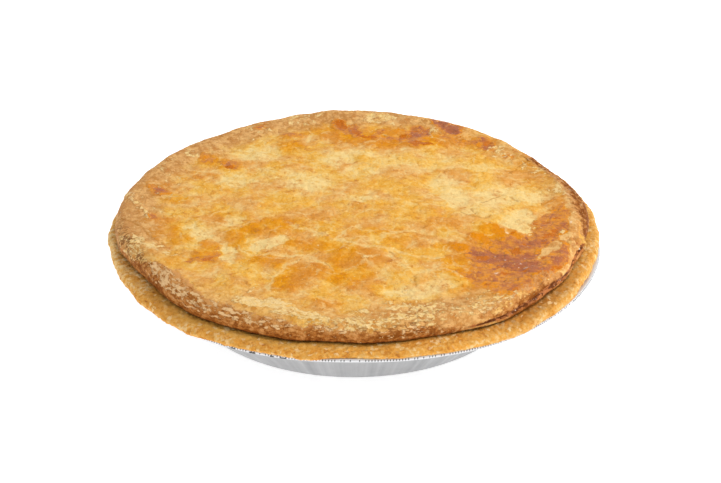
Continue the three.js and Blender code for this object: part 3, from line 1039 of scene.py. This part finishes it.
# Plates of the pale outer layer that are left: how whole, and the outline in mm
FLAKE_PLATES = [
    (
        1.0,
        [
            (-53, -86), (-50, -81), (-45, -82), (-39, -83), (-35, -83), (-32, -84), (-26, -88),
            (-30, -92), (-33, -93), (-36, -92), (-39, -92), (-43, -92), (-46, -92), (-52, -91),
        ],
    ),
    (
        0.85,
        [
            (-37, -97), (-34, -93), (-30, -92), (-26, -90), (-23, -92), (-19, -94), (-14, -96),
            (-11, -99), (-9, -104), (-11, -107), (-15, -107), (-17, -105), (-20, -104), (-24, -103),
            (-27, -102), (-31, -101),
        ],
    ),
    (
        0.9,
        [(-4, -103), (-1, -101), (4, -104), (6, -106), (7, -108), (4, -109), (0, -107), (-4, -106)],
    ),
    (0.85, [(-1, -92), (3, -91), (7, -91), (10, -93), (7, -97), (3, -96)]),
    (0.85, [(13, -86), (16, -85), (19, -88), (16, -90)]),
    (0.62, [(-89, -55), (-84, -56), (-79, -60), (-76, -65), (-79, -66), (-85, -61)]),
    (0.62, [(-82, -67), (-78, -70), (-74, -74), (-76, -76), (-80, -72)]),
    (0.66, [(-77, -75), (-72, -75), (-70, -78), (-73, -81), (-77, -80)]),
    (
        0.8,
        [
            (-109, 16), (-104, 15), (-101, 4), (-96, -6), (-95, -14), (-97, -12), (-101, -1),
            (-105, 6),
        ],
    ),
    (1.0, [(-52, -75), (-49, -75), (-47, -76), (-44, -73), (-42, -71), (-43, -75), (-46, -78)]),
    (0.9, [(1, -50), (5, -47), (9, -46), (8, -49), (4, -51)]),
    (0.9, [(93, -23), (96, -19), (98, -21), (98, -25), (94, -25)]),
    (0.7, [(38, 89), (43, 86), (43, 78), (39, 79)]),
]
# How much of it is left as scattered flecks, measured like the browning
FLECKED = [
    (2, -99, 16, 9, 0, 0.3),
    (26, -93, 16, 10, 12, 0.45),
    (50, -84, 18, 9, 28, 0.28),
    (26, -79, 9, 4, 0, 0.5),
    (-95, -34, 9, 5, -52, 0.44),
    (-87, -41, 10, 3, -38, 0.44),
    (-80, -60, 16, 6, -46, 0.12),
    (-92, 6, 16, 22, 0, 0.2),
    (-86, 36, 12, 20, 35, 0.24),
    (-80, 56, 6, 5, 0, 0.44),
    (-50, 84, 12, 8, 20, 0.38),
    (-24, 96, 14, 6, 5, 0.4),
    (14, 96, 14, 8, 0, 0.42),
    (40, 82, 5, 6, 0, 0.44),
    (72, 64, 10, 7, -40, 0.42),
    (88, 44, 12, 7, -60, 0.38),
    (99, 20, 9, 4, -80, 0.42),
]
# Thin lines on the field, x and y in mm: pale veins where the glaze parted, and open cracks
VEINS = [
    [(-30, -15), (-24, -21), (-9, -30), (3, -37), (16, -40), (19, -50), (27, -61)],
    [(-9, -30), (-1, -20), (3, -17)],
    [(-30, -55), (-21, -46), (-14, -52), (-10, -58)],
    [(-41, -61), (-36, -66), (-37, -75)],
    [(-59, -36), (-57, -51)],
    [(10, -36), (14, -26), (28, -22)],
    [(-30, -55), (-36, -66)],
    [(28, -60), (40, -58), (48, -64)],
    [(16, -40), (26, -46), (40, -48)],
    [(-52, -38), (-46, -46), (-30, -45), (-21, -46)],
]
CRACKS = [
    [(60, 6), (65, 10), (67, 11), (70, 15)],
    [(74, 13), (77, 7)],
    [(49, -2), (53, -6), (56, -9), (60, -10), (64, -7)],
    [(55, 0), (57, -6)],
    [(75, 38), (79, 42), (80, 47), (84, 50), (86, 54)],
    [(27, -63), (27, -68), (28, -72)],
    [(-13, -52), (-10, -58)],
    [(16, -42), (18, -45)],
    [(-112, -4), (-108, -8), (-105, -11), (-102, -14), (-98, -19), (-95, -24), (-93, -28)],
]
# Browning of the roll, low on the front right partly painted shade: how dark, and the outline
# as angles and mm down from the lip
ROLL_BROWNED_AND_SHADED = [
    (
        0.9,
        [
            (203, 14), (205, 8.5), (208, 4.5), (211, 1.4), (214, -1.6), (219, -3), (224, -2.4),
            (229, 0.8), (235, 3.2), (241, 4.2), (246, 3), (251, 3.8), (257, 5.2), (262, 5.8),
            (268, 6.4), (273, 8), (277, 9.5), (277, 14),
        ],
    ),
    (
        1.4,
        [
            (203, 9.4), (206, 8.4), (210, 8.4), (214, 9), (218, 9.4), (224, 9.8), (230, 10.2),
            (240, 10.6), (240, 13), (226, 13), (214, 12.4), (207, 11.6),
        ],
    ),
    (0.42, [(158, 0), (166, -1), (180, -1), (194, -1), (196, 2), (188, 4), (172, 5), (160, 4)]),
    (1.5, [(272, 11), (276, 9), (281, 8), (286, 8.6), (289, 10), (285, 11.5), (278, 12)]),
    (
        0.55,
        [
            (298, 6), (304, 3.4), (312, 2.6), (320, 2.4), (327, 3.4), (327, 6), (318, 6), (310, 7),
            (301, 8.6),
        ],
    ),
    (
        1.5,
        [
            (304, 9.6), (306, 8), (312, 7.2), (318, 6.8), (324, 6.8), (328, 8.4), (326, 13),
            (308, 13),
        ],
    ),
    (
        1.5,
        [
            (392, 0), (380, 0.4), (371, 1.0), (364, 1.8), (358, 2.4), (353, 3.6), (350, 6.4),
            (349, 10), (352, 13), (392, 14),
        ],
    ),
]
# Flecks on the roll, and crevices between its flakes painted dark as shade: angle, mm down from
# the lip, half angle, half height in mm, turn, strength
ROLL_FLECKED = [
    (219, 3, 12, 4, 0, 0.28),
    (232, 6, 14, 5, 0, 0.3),
    (248, 6, 10, 4, 0, 0.27),
    (266, 5, 10, 4, 0, 0.3),
    (282, 4, 14, 5, 0, 0.3),
    (214, 6, 7, 4, 0, 0.2),
    (304, 3.5, 12, 4, 0, 0.24),
    (199, 5, 9, 6, 0, 0.38),
    (284, 10.5, 9, 3, 0, 0.22),
    (364, 5, 12, 5, 0, 0.18),
]
ROLL_CREVICED = [
    (196, 6, 12, 8, 0, 1.0),
    (210, 8, 8, 5, 0, 0.7),
    (282, 8, 10, 4, 0, 0.9),
    (268, 7, 8, 4, 0, 0.5),
    (362, 6, 16, 7, 0, 1.0),
    (228, 9, 14, 3, 0, 0.6),
]
# Round the lid, as middle and half angle in degrees and strength: where the edge stayed golden
# below, where crumbs hide the crease under it so its painted shade is left out, and where the
# field is tan along the lip
GOLDEN_UNDER = [(301, 13, 0.7)]
CRUMBLED = [(289, 12, 1.0), (312, 14, 0.8)]
RIM_TANNED = [
    (243, 26, 0.5),
    (140, 75, 1.0),
    (80, 60, 0.85),
    (185, 36, 1.1),
    (290, 36, 0.9),
    (20, 40, 0.4),
]
RIM_START = 84 * MM
RIM_FULL = 97 * MM
RIM_FRAY = 3 * MM
MOST_TOASTED = 0.36
ROLL_MM_PER_DEGREE = 1.9
ROLL_STRETCH = 0.4
# Sizes of the random lumps
BROAD_SIZE = 14 * MM
MIDDLING_SIZE = 5 * MM
FINE_SIZE = 1.8 * MM
TORN_SIZE = 2.6 * MM
FRAY_SIZE = 6 * MM
# How far they fray an edge, in mm or, round the roll, in degrees
WIDE_FRAY = 2.0
SLIGHT_FRAY = 1.1
ROLL_FRAY = 0.9
FINE_FRAY = 0.6
# Where a spot begins to fade and is gone, as shares of its half sizes
SPOT_SOFTNESS = (0.5, 1.2)
# Where a patch begins and is full, in mm inside its outline
GLAZE_SOFTNESS = (-1.4, 2.6)
POOL_SOFTNESS = (-5, 3)
DARK_POOL_SOFTNESS = (-4, 4)
AMBER_SOFTNESS = (-0.6, 1)
PALE_PLATE_SOFTNESS = (-0.6, 1.4)
FLAKE_SOFTNESS = (-1.6, 1.4)
ISLAND_SOFTNESS = (-1.2, 0.2)
BROWN_SOFTNESS = (-3, 2)
# Heights of the fine relief
FLAKE_LIFT = 0.4 * MM
RIBBON_LIFT = 0.3 * MM
GLAZE_LIFT = 0.3 * MM
TOAST_LIFT = 0.5 * MM
BROAD_LIFT = 0.16 * MM
MIDDLING_LIFT = 0.16 * MM
FINE_LIFT = 0.1 * MM
TORN_LIFT = 0.12 * MM
CRACK_DEPTH = 0.25 * MM
KNOB_GROOVE = 0.5 * MM


def spots(x, y, places):
    """The sum of soft-edged spots, each a turned ellipse."""
    total = np.zeros_like(x)
    for middle_x, middle_y, half_length, half_width, turn_deg, strength in places:
        turn = math.radians(turn_deg)
        along = (x - middle_x) * math.cos(turn) + (y - middle_y) * math.sin(turn)
        across = (y - middle_y) * math.cos(turn) - (x - middle_x) * math.sin(turn)
        away = np.hypot(along / half_length, across / half_width)
        total += strength * (1 - smoothstep(away, *SPOT_SOFTNESS))
    return total


def line_distance(x, y, lines):
    """How far each place is from the nearest of the lines."""
    nearest = np.full_like(x, 1e3)
    for line in lines:
        for (x0, y0), (x1, y1) in zip(line, line[1:]):
            length = math.hypot(x1 - x0, y1 - y0)
            share = np.clip(((x - x0) * (x1 - x0) + (y - y0) * (y1 - y0)) / length**2, 0, 1)
            away = np.hypot(x - x0 - share * (x1 - x0), y - y0 - share * (y1 - y0))
            nearest = np.minimum(nearest, away)
    return nearest


def depth_inside(x, y, outline):
    """How far inside an outline each place is; less than 0 outside."""
    closed = outline + outline[:1]
    inside = np.zeros(x.shape, bool)
    for (x0, y0), (x1, y1) in zip(closed, closed[1:]):
        run = (x1 - x0) / (y1 - y0) if y1 != y0 else 0
        inside ^= ((y0 > y) != (y1 > y)) & (x < x0 + run * (y - y0))
    return np.where(inside, 1, -1) * line_distance(x, y, [closed])


def patches(x, y, outlines, softness):
    """The strongest of soft-edged patches, each (strength, outline)."""
    total = np.zeros_like(x)
    for strength, outline in outlines:
        total = np.maximum(total, strength * smoothstep(depth_inside(x, y, outline), *softness))
    return total


def swell(x, y, wavelength, turn):
    """A smooth uneven relief over a plane, from -1 to 1: crossed waves that bend each other."""
    rate = 2 * math.pi / wavelength
    along = rate * (x * math.cos(turn) + y * math.sin(turn))
    across = rate * (y * math.cos(turn) - x * math.sin(turn))
    return np.sin(along + 1.3 * np.sin(0.7 * across)) * np.cos(0.9 * across + np.sin(0.6 * along))


places = read_vertices(top_crust)
angle, radius = polar(places)
x, y = places[:, 0] / MM, places[:, 1] / MM
height = places[:, 2].copy()
in_field = height > LIP_TOP - 0.01 * MM

# How far down the roll a place is, in mm from the lip; less than 0 in the field
ring_heights = [ring[1] for ring in roll_profile]
ring_steps = [math.dist(first, second) / MM for first, second in zip(roll_profile, roll_profile[1:])]
ring_drops = sum(ring_steps) - np.concatenate([[0], np.cumsum(ring_steps)])
down = np.where(in_field, (radius - LIP_RADIUS) / MM, np.interp(height, ring_heights, ring_drops))
round_angle = (np.degrees(angle) - 90) % 360 + 90

# Random lumps, with those of the roll drawn out round it
broad = lumps(places, BROAD_SIZE, seed=2, octaves=2)
middling = lumps(places, MIDDLING_SIZE, seed=3, octaves=3)
fine = lumps(places, FINE_SIZE, seed=4, octaves=2)
roll_places = places.copy()
roll_places[:, :2] *= (ROLL_STRETCH * LID_RADIUS / np.maximum(radius, MM))[:, None]
roll_places[:, 2] = down * MM
torn = lumps(roll_places, TORN_SIZE, seed=8, octaves=3)
fray_x = lumps(places, FRAY_SIZE, seed=6, octaves=5, roughness=0.65)
fray_y = lumps(places, FRAY_SIZE, seed=7, octaves=5, roughness=0.65)

# Roll and field
split_angles, split_downs, split_halves = zip(*SPLIT)
split_half = np.interp(round_angle, split_angles, split_halves)
split_away = np.abs(down - np.interp(round_angle, split_angles, split_downs))
split = 1 - smoothstep(split_away, 0.6 * split_half, 1.15 * split_half + 0.01)
split *= smoothstep(split_half, 0, 0.8)
over_lip = smoothstep(down, -12, -1)
past_lip = smoothstep(down, -4, 2)
set_back = bumps(angle, RIGHT_SET_BACK) * (1 - smoothstep(down, 2, 6))
set_back += bumps(angle, PINCH) * (1 - smoothstep(down, 5, 9))
waver = ROLL_WAVER * ripple(angle, [5, 8, 13, 29, 41], 1.3)
on_roll = past_lip * smoothstep(radius, UNDER_RADIUS, UNDER_RADIUS + 2 * MM)
bulge = (waver + bumps(angle, ROLL_BULGES)) * on_roll
push_out(places, angle, bulge - set_back * over_lip - SPLIT_DEPTH * split)

raised = 1 - smoothstep(down, 0, 14)
slope = smoothstep(LIP_RADIUS - radius, 0, LIP_RADIUS - FIELD_BORDER)
dome = 1 - np.minimum(1, radius / FIELD_BORDER) ** 2
places[:, 2] += in_field * (DOME_RISE * dome - FIELD_SINK * slope)
near_lip = smoothstep(radius, FIELD_BORDER - 20 * MM, LIP_RADIUS)
places[:, 2] += bumps(angle, LIP_RISES) * near_lip * raised
waves = sum(rise * swell(x, y, length, turn) for rise, length, turn in FIELD_SWELLS)
places[:, 2] += waves * MM * raised * (1 - 0.45 * near_lip)
places[:, 2] -= 0.6 * bumps(angle, PINCH) * over_lip * raised

# Places on the lid rolled out flat, and frayed for ragged edges
reach = np.where(in_field, radius / MM, LIP_RADIUS / MM + down)
flat_x, flat_y = reach * np.cos(angle), reach * np.sin(angle)
frayed_x, frayed_y = flat_x + WIDE_FRAY * fray_x, flat_y + WIDE_FRAY * fray_y
near_x, near_y = flat_x + SLIGHT_FRAY * fray_x, flat_y + SLIGHT_FRAY * fray_y
frayed_angle, frayed_down = round_angle + ROLL_FRAY * fray_x, down + ROLL_FRAY * fray_y

# Browning and glaze
toasted = np.tanh(spots(frayed_x, frayed_y, TOASTED) / MOST_TOASTED)
paled = np.tanh(spots(frayed_x, frayed_y, PALE) / MOST_TOASTED)
paled = np.maximum(paled, patches(near_x, near_y, [(0.85, PALE_PLATE)], PALE_PLATE_SOFTNESS))
toast = MOST_TOASTED * (toasted * (1 - paled) - paled)
toast += 0.04 * broad + 0.05 * middling + 0.03 * fine
glaze = patches(near_x, near_y, GLAZED, GLAZE_SOFTNESS)
glaze = np.maximum(glaze, patches(frayed_x, frayed_y, POOLED[:1], POOL_SOFTNESS))
glaze = np.maximum(glaze, patches(frayed_x, frayed_y, POOLED[1:], DARK_POOL_SOFTNESS))
blisters = np.minimum(1, spots(near_x, near_y, BLISTERS))
rim = smoothstep(radius + RIM_FRAY * middling, RIM_START, RIM_FULL)
rim *= np.minimum(1, bumps(angle, RIM_TANNED) / MM + 0.1)
roll_outlines = [
    (dark, [(ROLL_MM_PER_DEGREE * turn, drop) for turn, drop in outline])
    for dark, outline in ROLL_BROWNED_AND_SHADED
]
roll_brown = patches(ROLL_MM_PER_DEGREE * frayed_angle, frayed_down, roll_outlines, BROWN_SOFTNESS)
# The lower roll is painted browner, partly baked browning and partly painted shade
under_brown = 0.8 * smoothstep(down, 7, 11) * (1 - bumps(angle, GOLDEN_UNDER) / MM)

# The lip over the split and the tan islands are bare
ribbon_angles, ribbon_starts, ribbon_ends = zip(*LIP_RIBBON)
ribbon = smoothstep(frayed_down - np.interp(round_angle, ribbon_angles, ribbon_starts), -1, 0.6)
ribbon *= 1 - smoothstep(down - np.interp(round_angle, ribbon_angles, ribbon_ends), -0.5, 0.8)
ribbon *= (round_angle > ribbon_angles[0]) & (round_angle < ribbon_angles[-1])
islands = [(1, outline) for outline in TAN_ISLANDS]
island_x, island_y = flat_x + FINE_FRAY * fray_x, flat_y + FINE_FRAY * fray_y
bare = np.maximum(ribbon, patches(island_x, island_y, islands, ISLAND_SOFTNESS))
glaze *= 1 - bare
toast *= 1 - bare
rim *= 1 - bare

# Flakes, cracks and fine relief
plates = patches(near_x, near_y, FLAKE_PLATES, FLAKE_SOFTNESS)
crack_away = line_distance(x + FINE_FRAY * fray_x, y + FINE_FRAY * fray_y, CRACKS)
lift = FLAKE_LIFT * smoothstep(plates, 0.3, 0.7)
lift -= CRACK_DEPTH * (1 - smoothstep(crack_away, 0.2, 0.9))
lift += FINE_LIFT * fine + BROAD_LIFT * broad + RIBBON_LIFT * ribbon
lift += GLAZE_LIFT * (blisters + middling) * glaze + TOAST_LIFT * (toasted - paled)
lift += MIDDLING_LIFT * middling * (1 - past_lip) + TORN_LIFT * torn * past_lip
for turn, drop, half_width, rise in KNOBS:
    away = np.hypot(ROLL_MM_PER_DEGREE * (round_angle - turn), down - drop) / half_width
    groove = 1 - smoothstep(np.abs(away - 1.1), 0, 0.3)
    lift += MM * rise * (1 - smoothstep(away, 0.3, 1)) - KNOB_GROOVE * groove
    # The groove round each knob is painted with the split's dark colour as painted shade
    split = np.maximum(split, 0.3 * groove)
lift *= smoothstep(height, LID_BOTTOM, LID_BOTTOM + 2 * MM)
write_vertices(top_crust, places)
places += lift[:, None] * read_vertices(top_crust, "normal")
write_vertices(top_crust, places)
top_crust.data.shade_smooth()
store(
    top_crust,
    toast=toast,
    glaze=glaze,
    blisters=blisters,
    scorched=np.minimum(1, spots(near_x, near_y, SCORCHED)),
    amber=patches(near_x, near_y, AMBER_POOLS, AMBER_SOFTNESS),
    glint=spots(flat_x, flat_y, GLINTS),
    creviced=np.minimum(1, spots(frayed_angle, frayed_down, ROLL_CREVICED)),
    crumbled=bumps(angle, CRUMBLED) / MM,
    plates=plates,
    flecked=spots(frayed_x, frayed_y, FLECKED) + spots(frayed_angle, frayed_down, ROLL_FLECKED),
    vein_away=line_distance(near_x, near_y, VEINS),
    crack_away=crack_away,
    rim=rim,
    bare=bare,
    brown=np.maximum(roll_brown, under_brown),
    split=split,
    down=down,
)

# Colours, and sizes of the random textures
CREAM = tint(243, 210, 140)
STRAW = tint(241, 194, 104)
GOLD = tint(236, 175, 70)
AMBER = tint(228, 148, 14)
TOAST = tint(212, 124, 8)
TAN_STRAW = tint(236, 190, 118)
TAN = tint(230, 168, 88)
TAN_AMBER = tint(220, 144, 52)
BARE_LIGHT = tint(233, 185, 117)
BARE_TAN = tint(213, 150, 80)
RIM_LIGHT = tint(228, 176, 110)
RIM_TAN = tint(196, 136, 72)
ROLL_TAN = tint(214, 154, 90)
ROLL_BROWN = tint(180, 113, 50)
ROLL_DARK = tint(134, 74, 24)
ROLL_CHAR = tint(132, 70, 12)
ROLL_CREASE_SHADE = tint(54, 24, 2)
SPLIT_DARK = tint(112, 56, 10)
SPLIT_MAUVE = tint(196, 122, 66)
GLINT = tint(255, 240, 220)
SCORCH = tint(200, 108, 4)
GLAZE_AMBER = tint(226, 138, 2)
GLAZE_ORANGE = tint(220, 144, 54)
GLAZE_BROWN = tint(200, 120, 52)
GLAZE_MAUVE = tint(176, 102, 64)
FLAKE_CREAM = tint(243, 209, 147)
FLAKE_STRAW = tint(238, 196, 122)
FLAKE_PEACH = tint(234, 191, 136)
FLAKE_EDGE_SHADOW = tint(180, 108, 36)
PALE_SPECK_AND_SPARKLE = tint(248, 222, 162)
VEIN_CREAM = tint(244, 212, 142)
CRACK_SHADE_OLIVE = tint(170, 106, 24)
TONE_STEPS = (0.04, 0.24, 0.42, 0.66, 0.95)
LAYERS_ROUND = 36
LAYERS_PER_MM = 0.8
FIELD_SCALE_SIZE = 2.4 * MM
ROLL_SCALE_LAYERS = 0.75
TANNED_SIZE = 14 * MM
BEND_SIZE = 7 * MM
BEND_REACH = 8 * MM
CELL_SIZE = 15 * MM
BUBBLE_SIZE = 6.5 * MM
STREAK_SIZE = 2.6 * MM
STREAK_STRETCH = (0.4, 1, 1)
SCRAP_SIZE = 2.2 * MM
CREVICE_SIZE = 2 * MM
GLINT_SIZE = 1.1 * MM

top_material, tree, shader = new_material("flaky_pastry")
blotch, grain, flaky = add_pastry_grain(
    tree, Blotch_Size=5 * MM, Grain_Size=1.2 * MM, Layer_Size=8 * MM
)
place = own_place(tree)
down_roll = stored(tree, "down")
in_split = stored(tree, "split")

# Layers of the roll: random lines that run round it
round_place = vector_math(tree, "SCALE", in0=heading(tree, place), Scale=LAYERS_ROUND)
layer_drop = add_node(tree, "ShaderNodeCombineXYZ", Z=times(tree, down_roll, LAYERS_PER_MM))
layer_place = vector_math(tree, "ADD", in0=round_place, in1=layer_drop.outputs[0])
layers = fade(tree, noise_value(tree, layer_place, 1, 4, 0.65), 0.3, 0.7)
pick, chance, tilt = add_pastry_scales(tree, place, FIELD_SCALE_SIZE)
roll_pick, roll_chance = add_pastry_scales(tree, layer_place, ROLL_SCALE_LAYERS)[:2]

# Field: browning, with pale veins between plates
tone = weighted(tree, 0.075, (stored(tree, "toast"), 1), (blotch, 0.22), (grain, 0.14))
tone = weighted(tree, tone, (flaky, 0.14), (pick, 0.12))
colour = ramp(tree, tone, TONE_STEPS, (CREAM, STRAW, GOLD, AMBER, TOAST))
tan_colour = ramp(tree, tone, TONE_STEPS, (CREAM, TAN_STRAW, TAN, TAN_AMBER, TOAST))
tanned = noise_value(tree, place, 1 / TANNED_SIZE, 4)
colour = mix(tree, fade(tree, tanned, 0.4, 0.62), colour, tan_colour)
bend = add_node(tree, "ShaderNodeTexNoise", Vector=place, Scale=1 / BEND_SIZE, Detail=3)
bend_share = vector_math(tree, "SCALE", in0=bend.outputs["Color"], Scale=BEND_REACH)
bent_place = vector_math(tree, "ADD", in0=bend_share, in1=place)
settings = {"feature": "DISTANCE_TO_EDGE"}
cells = add_node(tree, "ShaderNodeTexVoronoi", settings, Vector=bent_place, Scale=1 / CELL_SIZE)
cell_edge = fade(tree, cells.outputs["Distance"], 0.06, 0.01)
cell_edge = times(tree, cell_edge, fade(tree, blotch, 0.7, 0.3), 0.4)
colour = mix(tree, cell_edge, colour, VEIN_CREAM)
vein_away = weighted(tree, -0.8, (stored(tree, "vein_away"), 1), (blotch, 1.2), (grain, 0.6))
colour = mix(tree, times(tree, fade(tree, vein_away, 1.8, 0.2), 0.55), colour, VEIN_CREAM)
even_tone = times(tree, fade(tree, tone, 0.95, 0.5), fade(tree, tone, 0.05, 0.25))
rim_tone = weighted(tree, 0.0, (blotch, 0.35), (flaky, 0.2), (grain, 0.22), (pick, 0.23))
rim_colour = mix(tree, fade(tree, rim_tone, 0.3, 0.68), RIM_LIGHT, RIM_TAN)
colour = mix(tree, times(tree, stored(tree, "rim"), even_tone), colour, rim_colour)
bare_colour = mix(tree, fade(tree, rim_tone, 0.38, 0.62), BARE_LIGHT, BARE_TAN)
colour = mix(tree, stored(tree, "bare"), colour, bare_colour)

# Glaze, darkest in the middle, with blisters
pooled = stored(tree, "glaze")
streak_place = vector_math(tree, "MULTIPLY", in0=place, in1=STREAK_STRETCH)
streaks = fade(tree, noise_value(tree, streak_place, 1 / STREAK_SIZE, 4, 0.62), 0.32, 0.68)
glaze_noise = weighted(tree, -0.5, (blotch, 0.2), (flaky, 0.2), (grain, 0.15))
glaze_noise = weighted(tree, glaze_noise, (streaks, 0.15), (pick, 0.3))
glaze_edge = weighted(tree, 0.0, (pooled, 1), (glaze_noise, 0.5))
glaze_share = fade(tree, glaze_edge, 0.06, 0.22)
bubbles = add_node(tree, "ShaderNodeTexVoronoi", Vector=bent_place, Scale=1 / BUBBLE_SIZE)
bubble = fade(tree, bubbles.outputs["Distance"], 0.42, 0.3)
blister = weighted(tree, 0.0, (stored(tree, "blisters"), 0.8), (glaze_noise, 0.6), (bubble, 0.55))
glaze_tone = weighted(tree, 0.05, (pooled, 1), (glaze_noise, 1.8), (blister, -0.4))
glaze_colours = (GLAZE_AMBER, GLAZE_ORANGE, GLAZE_BROWN, GLAZE_MAUVE)
glaze_colour = ramp(tree, glaze_tone, (0.1, 0.3, 0.6, 0.9), glaze_colours)
colour = mix(tree, glaze_share, colour, glaze_colour)
amber = weighted(tree, 0.0, (stored(tree, "amber"), 1), (glaze_noise, 0.8))
colour = mix(tree, times(tree, fade(tree, amber, 0.25, 0.55), 0.95), colour, GLAZE_AMBER)
scorch = weighted(tree, -0.5, (stored(tree, "scorched"), 1), (glaze_noise, 1.2))
colour = mix(tree, fade(tree, scorch, 0.0, 0.25), colour, SCORCH)

# Roll: brown, in layers, darkest where it charred, and darker down the roll, partly baked
# browning and partly painted shade
browned = stored(tree, "brown")
brown_edge = weighted(tree, -0.5, (browned, 1), (flaky, 0.35), (grain, 0.35), (layers, 0.5))
brown_tone = weighted(tree, 0.14, (layers, 0.3), (blotch, 0.25), (grain, 0.2), (pick, 0.3))
brown_tone = weighted(tree, brown_tone, (down_roll, -0.022))
brown_colour = ramp(tree, brown_tone, (0.28, 0.46, 0.7), (ROLL_DARK, ROLL_BROWN, ROLL_TAN))
charred = weighted(tree, 0.0, (roll_pick, 0.5), (layers, 0.3), (grain, 0.2))
char = times(tree, fade(tree, browned, 1.0, 1.4), fade(tree, charred, 0.28, 0.62))
brown_colour = mix(tree, char, brown_colour, ROLL_CHAR)
colour = mix(tree, fade(tree, brown_edge, 0.3, 0.75), colour, brown_colour)


def most(tree, first, second):
    """The larger of two values."""
    return arithmetic(tree, "MAXIMUM", first, second)


# Flakes of the pale outer layer: scraps in the field, strips on the roll
flecked = stored(tree, "flecked")
strips = noise_value(tree, layer_place, 1.2, 4, 0.75)
over_roll = fade(tree, down_roll, -1, -0.5)
scraps = noise_value(tree, place, 1 / SCRAP_SIZE, 4, 0.6)
scraps = between(tree, times(tree, over_roll, 0.6), scraps, strips)
chance = between(tree, over_roll, chance, roll_chance)
fleck = weighted(tree, 0.37, (flecked, 1), (scraps, -1.2), (chance, -0.5))
fleck = weighted(tree, fleck, (times(tree, over_roll, layers), 0.2))
fleck = weighted(tree, -1.0, (fleck, 1), (fade(tree, flecked, 0.02, 0.1), 1))
plate = weighted(tree, 0.1, (stored(tree, "plates"), 1), (scraps, -1.2), (chance, -0.4))
flake = most(tree, fleck, plate)
# Painted shadow round the edges of the flakes, stronger on the browned roll
flake_edge_shadow = weighted(tree, 0.12, (fade(tree, browned, 0.2, 0.7), 0.3))
colour = mix(tree, times(tree, fade(tree, flake, -0.16, 0.0), flake_edge_shadow), colour, FLAKE_EDGE_SHADOW)
flake_share = fade(tree, flake, -0.01, 0.09)
flake_colour = mix(tree, fade(tree, grain, 0.3, 0.7), FLAKE_CREAM, FLAKE_STRAW)
flake_colour = mix(tree, fade(tree, browned, 0.2, 0.6), flake_colour, FLAKE_PEACH)
colour = mix(tree, flake_share, colour, flake_colour)

# Specks and sparkles, cracks and crevices painted with shade, the split, then painted highlights
# and the painted shade of the crease under the edge
# Pale specks, partly flour and flake and partly painted sparkle highlights
colour = mix(tree, times(tree, fade(tree, grain, 0.1, 0.03), 0.75), colour, PALE_SPECK_AND_SPARKLE)
# The cracks are painted dark as the shade in them
crack_away = weighted(tree, -0.3, (stored(tree, "crack_away"), 1), (blotch, 0.4), (grain, 0.3))
colour = mix(tree, times(tree, fade(tree, crack_away, 0.8, 0.1), 0.55), colour, CRACK_SHADE_OLIVE)
# Painted shade in thin crevices between the roll's flakes
crevices = weighted(tree, -0.5, (noise_value(tree, streak_place, 1 / CREVICE_SIZE, 2), 1))
crevice_shade = fade(tree, arithmetic(tree, "ABSOLUTE", crevices, 0), 0.07, 0.03)
crevice_shade = times(tree, crevice_shade, stored(tree, "creviced"), fade(tree, blotch, 0.7, 0.4), 0.85)
colour = mix(tree, crevice_shade, colour, ROLL_DARK)
split_tone = weighted(tree, 0.0, (roll_pick, 0.5), (strips, 0.5))
split_colour = mix(tree, fade(tree, split_tone, 0.4, 0.7), SPLIT_DARK, SPLIT_MAUVE)
split_edge = weighted(tree, -0.3, (in_split, 1), (scraps, 0.3), (roll_pick, 0.3))
colour = mix(tree, fade(tree, split_edge, 0.15, 0.4), colour, split_colour)
wet = most(tree, times(tree, fade(tree, pooled, 0.6, 0.9), 0.5), fade(tree, in_split, 0.4, 0.8))
glints = fade(tree, noise_value(tree, place, 1 / GLINT_SIZE, 0), 0.74, 0.82)
colour = mix(tree, most(tree, times(tree, glints, wet), stored(tree, "glint")), colour, GLINT)
# Painted shade in the crease under the roll's edge, left out where crumbs hide it
roll_crease_shade = weighted(tree, -1.1, (down_roll, 1), (strips, 2.2), (stored(tree, "crumbled"), -1.4))
colour = mix(tree, fade(tree, roll_crease_shade, 12.2, 13.2), colour, ROLL_CREASE_SHADE)

gloss = most(tree, glaze_share, in_split)
blistered = times(tree, bubble, glaze_share)
relief = weighted(tree, 0.0, (blotch, 0.4), (grain, 0.35), (flaky, 0.3), (tilt, 0.7))
relief = weighted(tree, relief, (flake_share, 0.4), (blistered, 0.7))
connect(
    tree,
    shader,
    Base_Color=colour,
    Roughness=between(tree, gloss, 0.62, 0.35),
    Coat_Weight=times(tree, gloss, 0.15),
    Coat_Roughness=0.2,
    Specular_IOR_Level=0.06,
    Normal=relief_normal(tree, relief, 0.7 * MM, 0.8),
)
top_crust.data.materials.append(top_material)
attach(top_crust, "root")
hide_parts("top_crust")
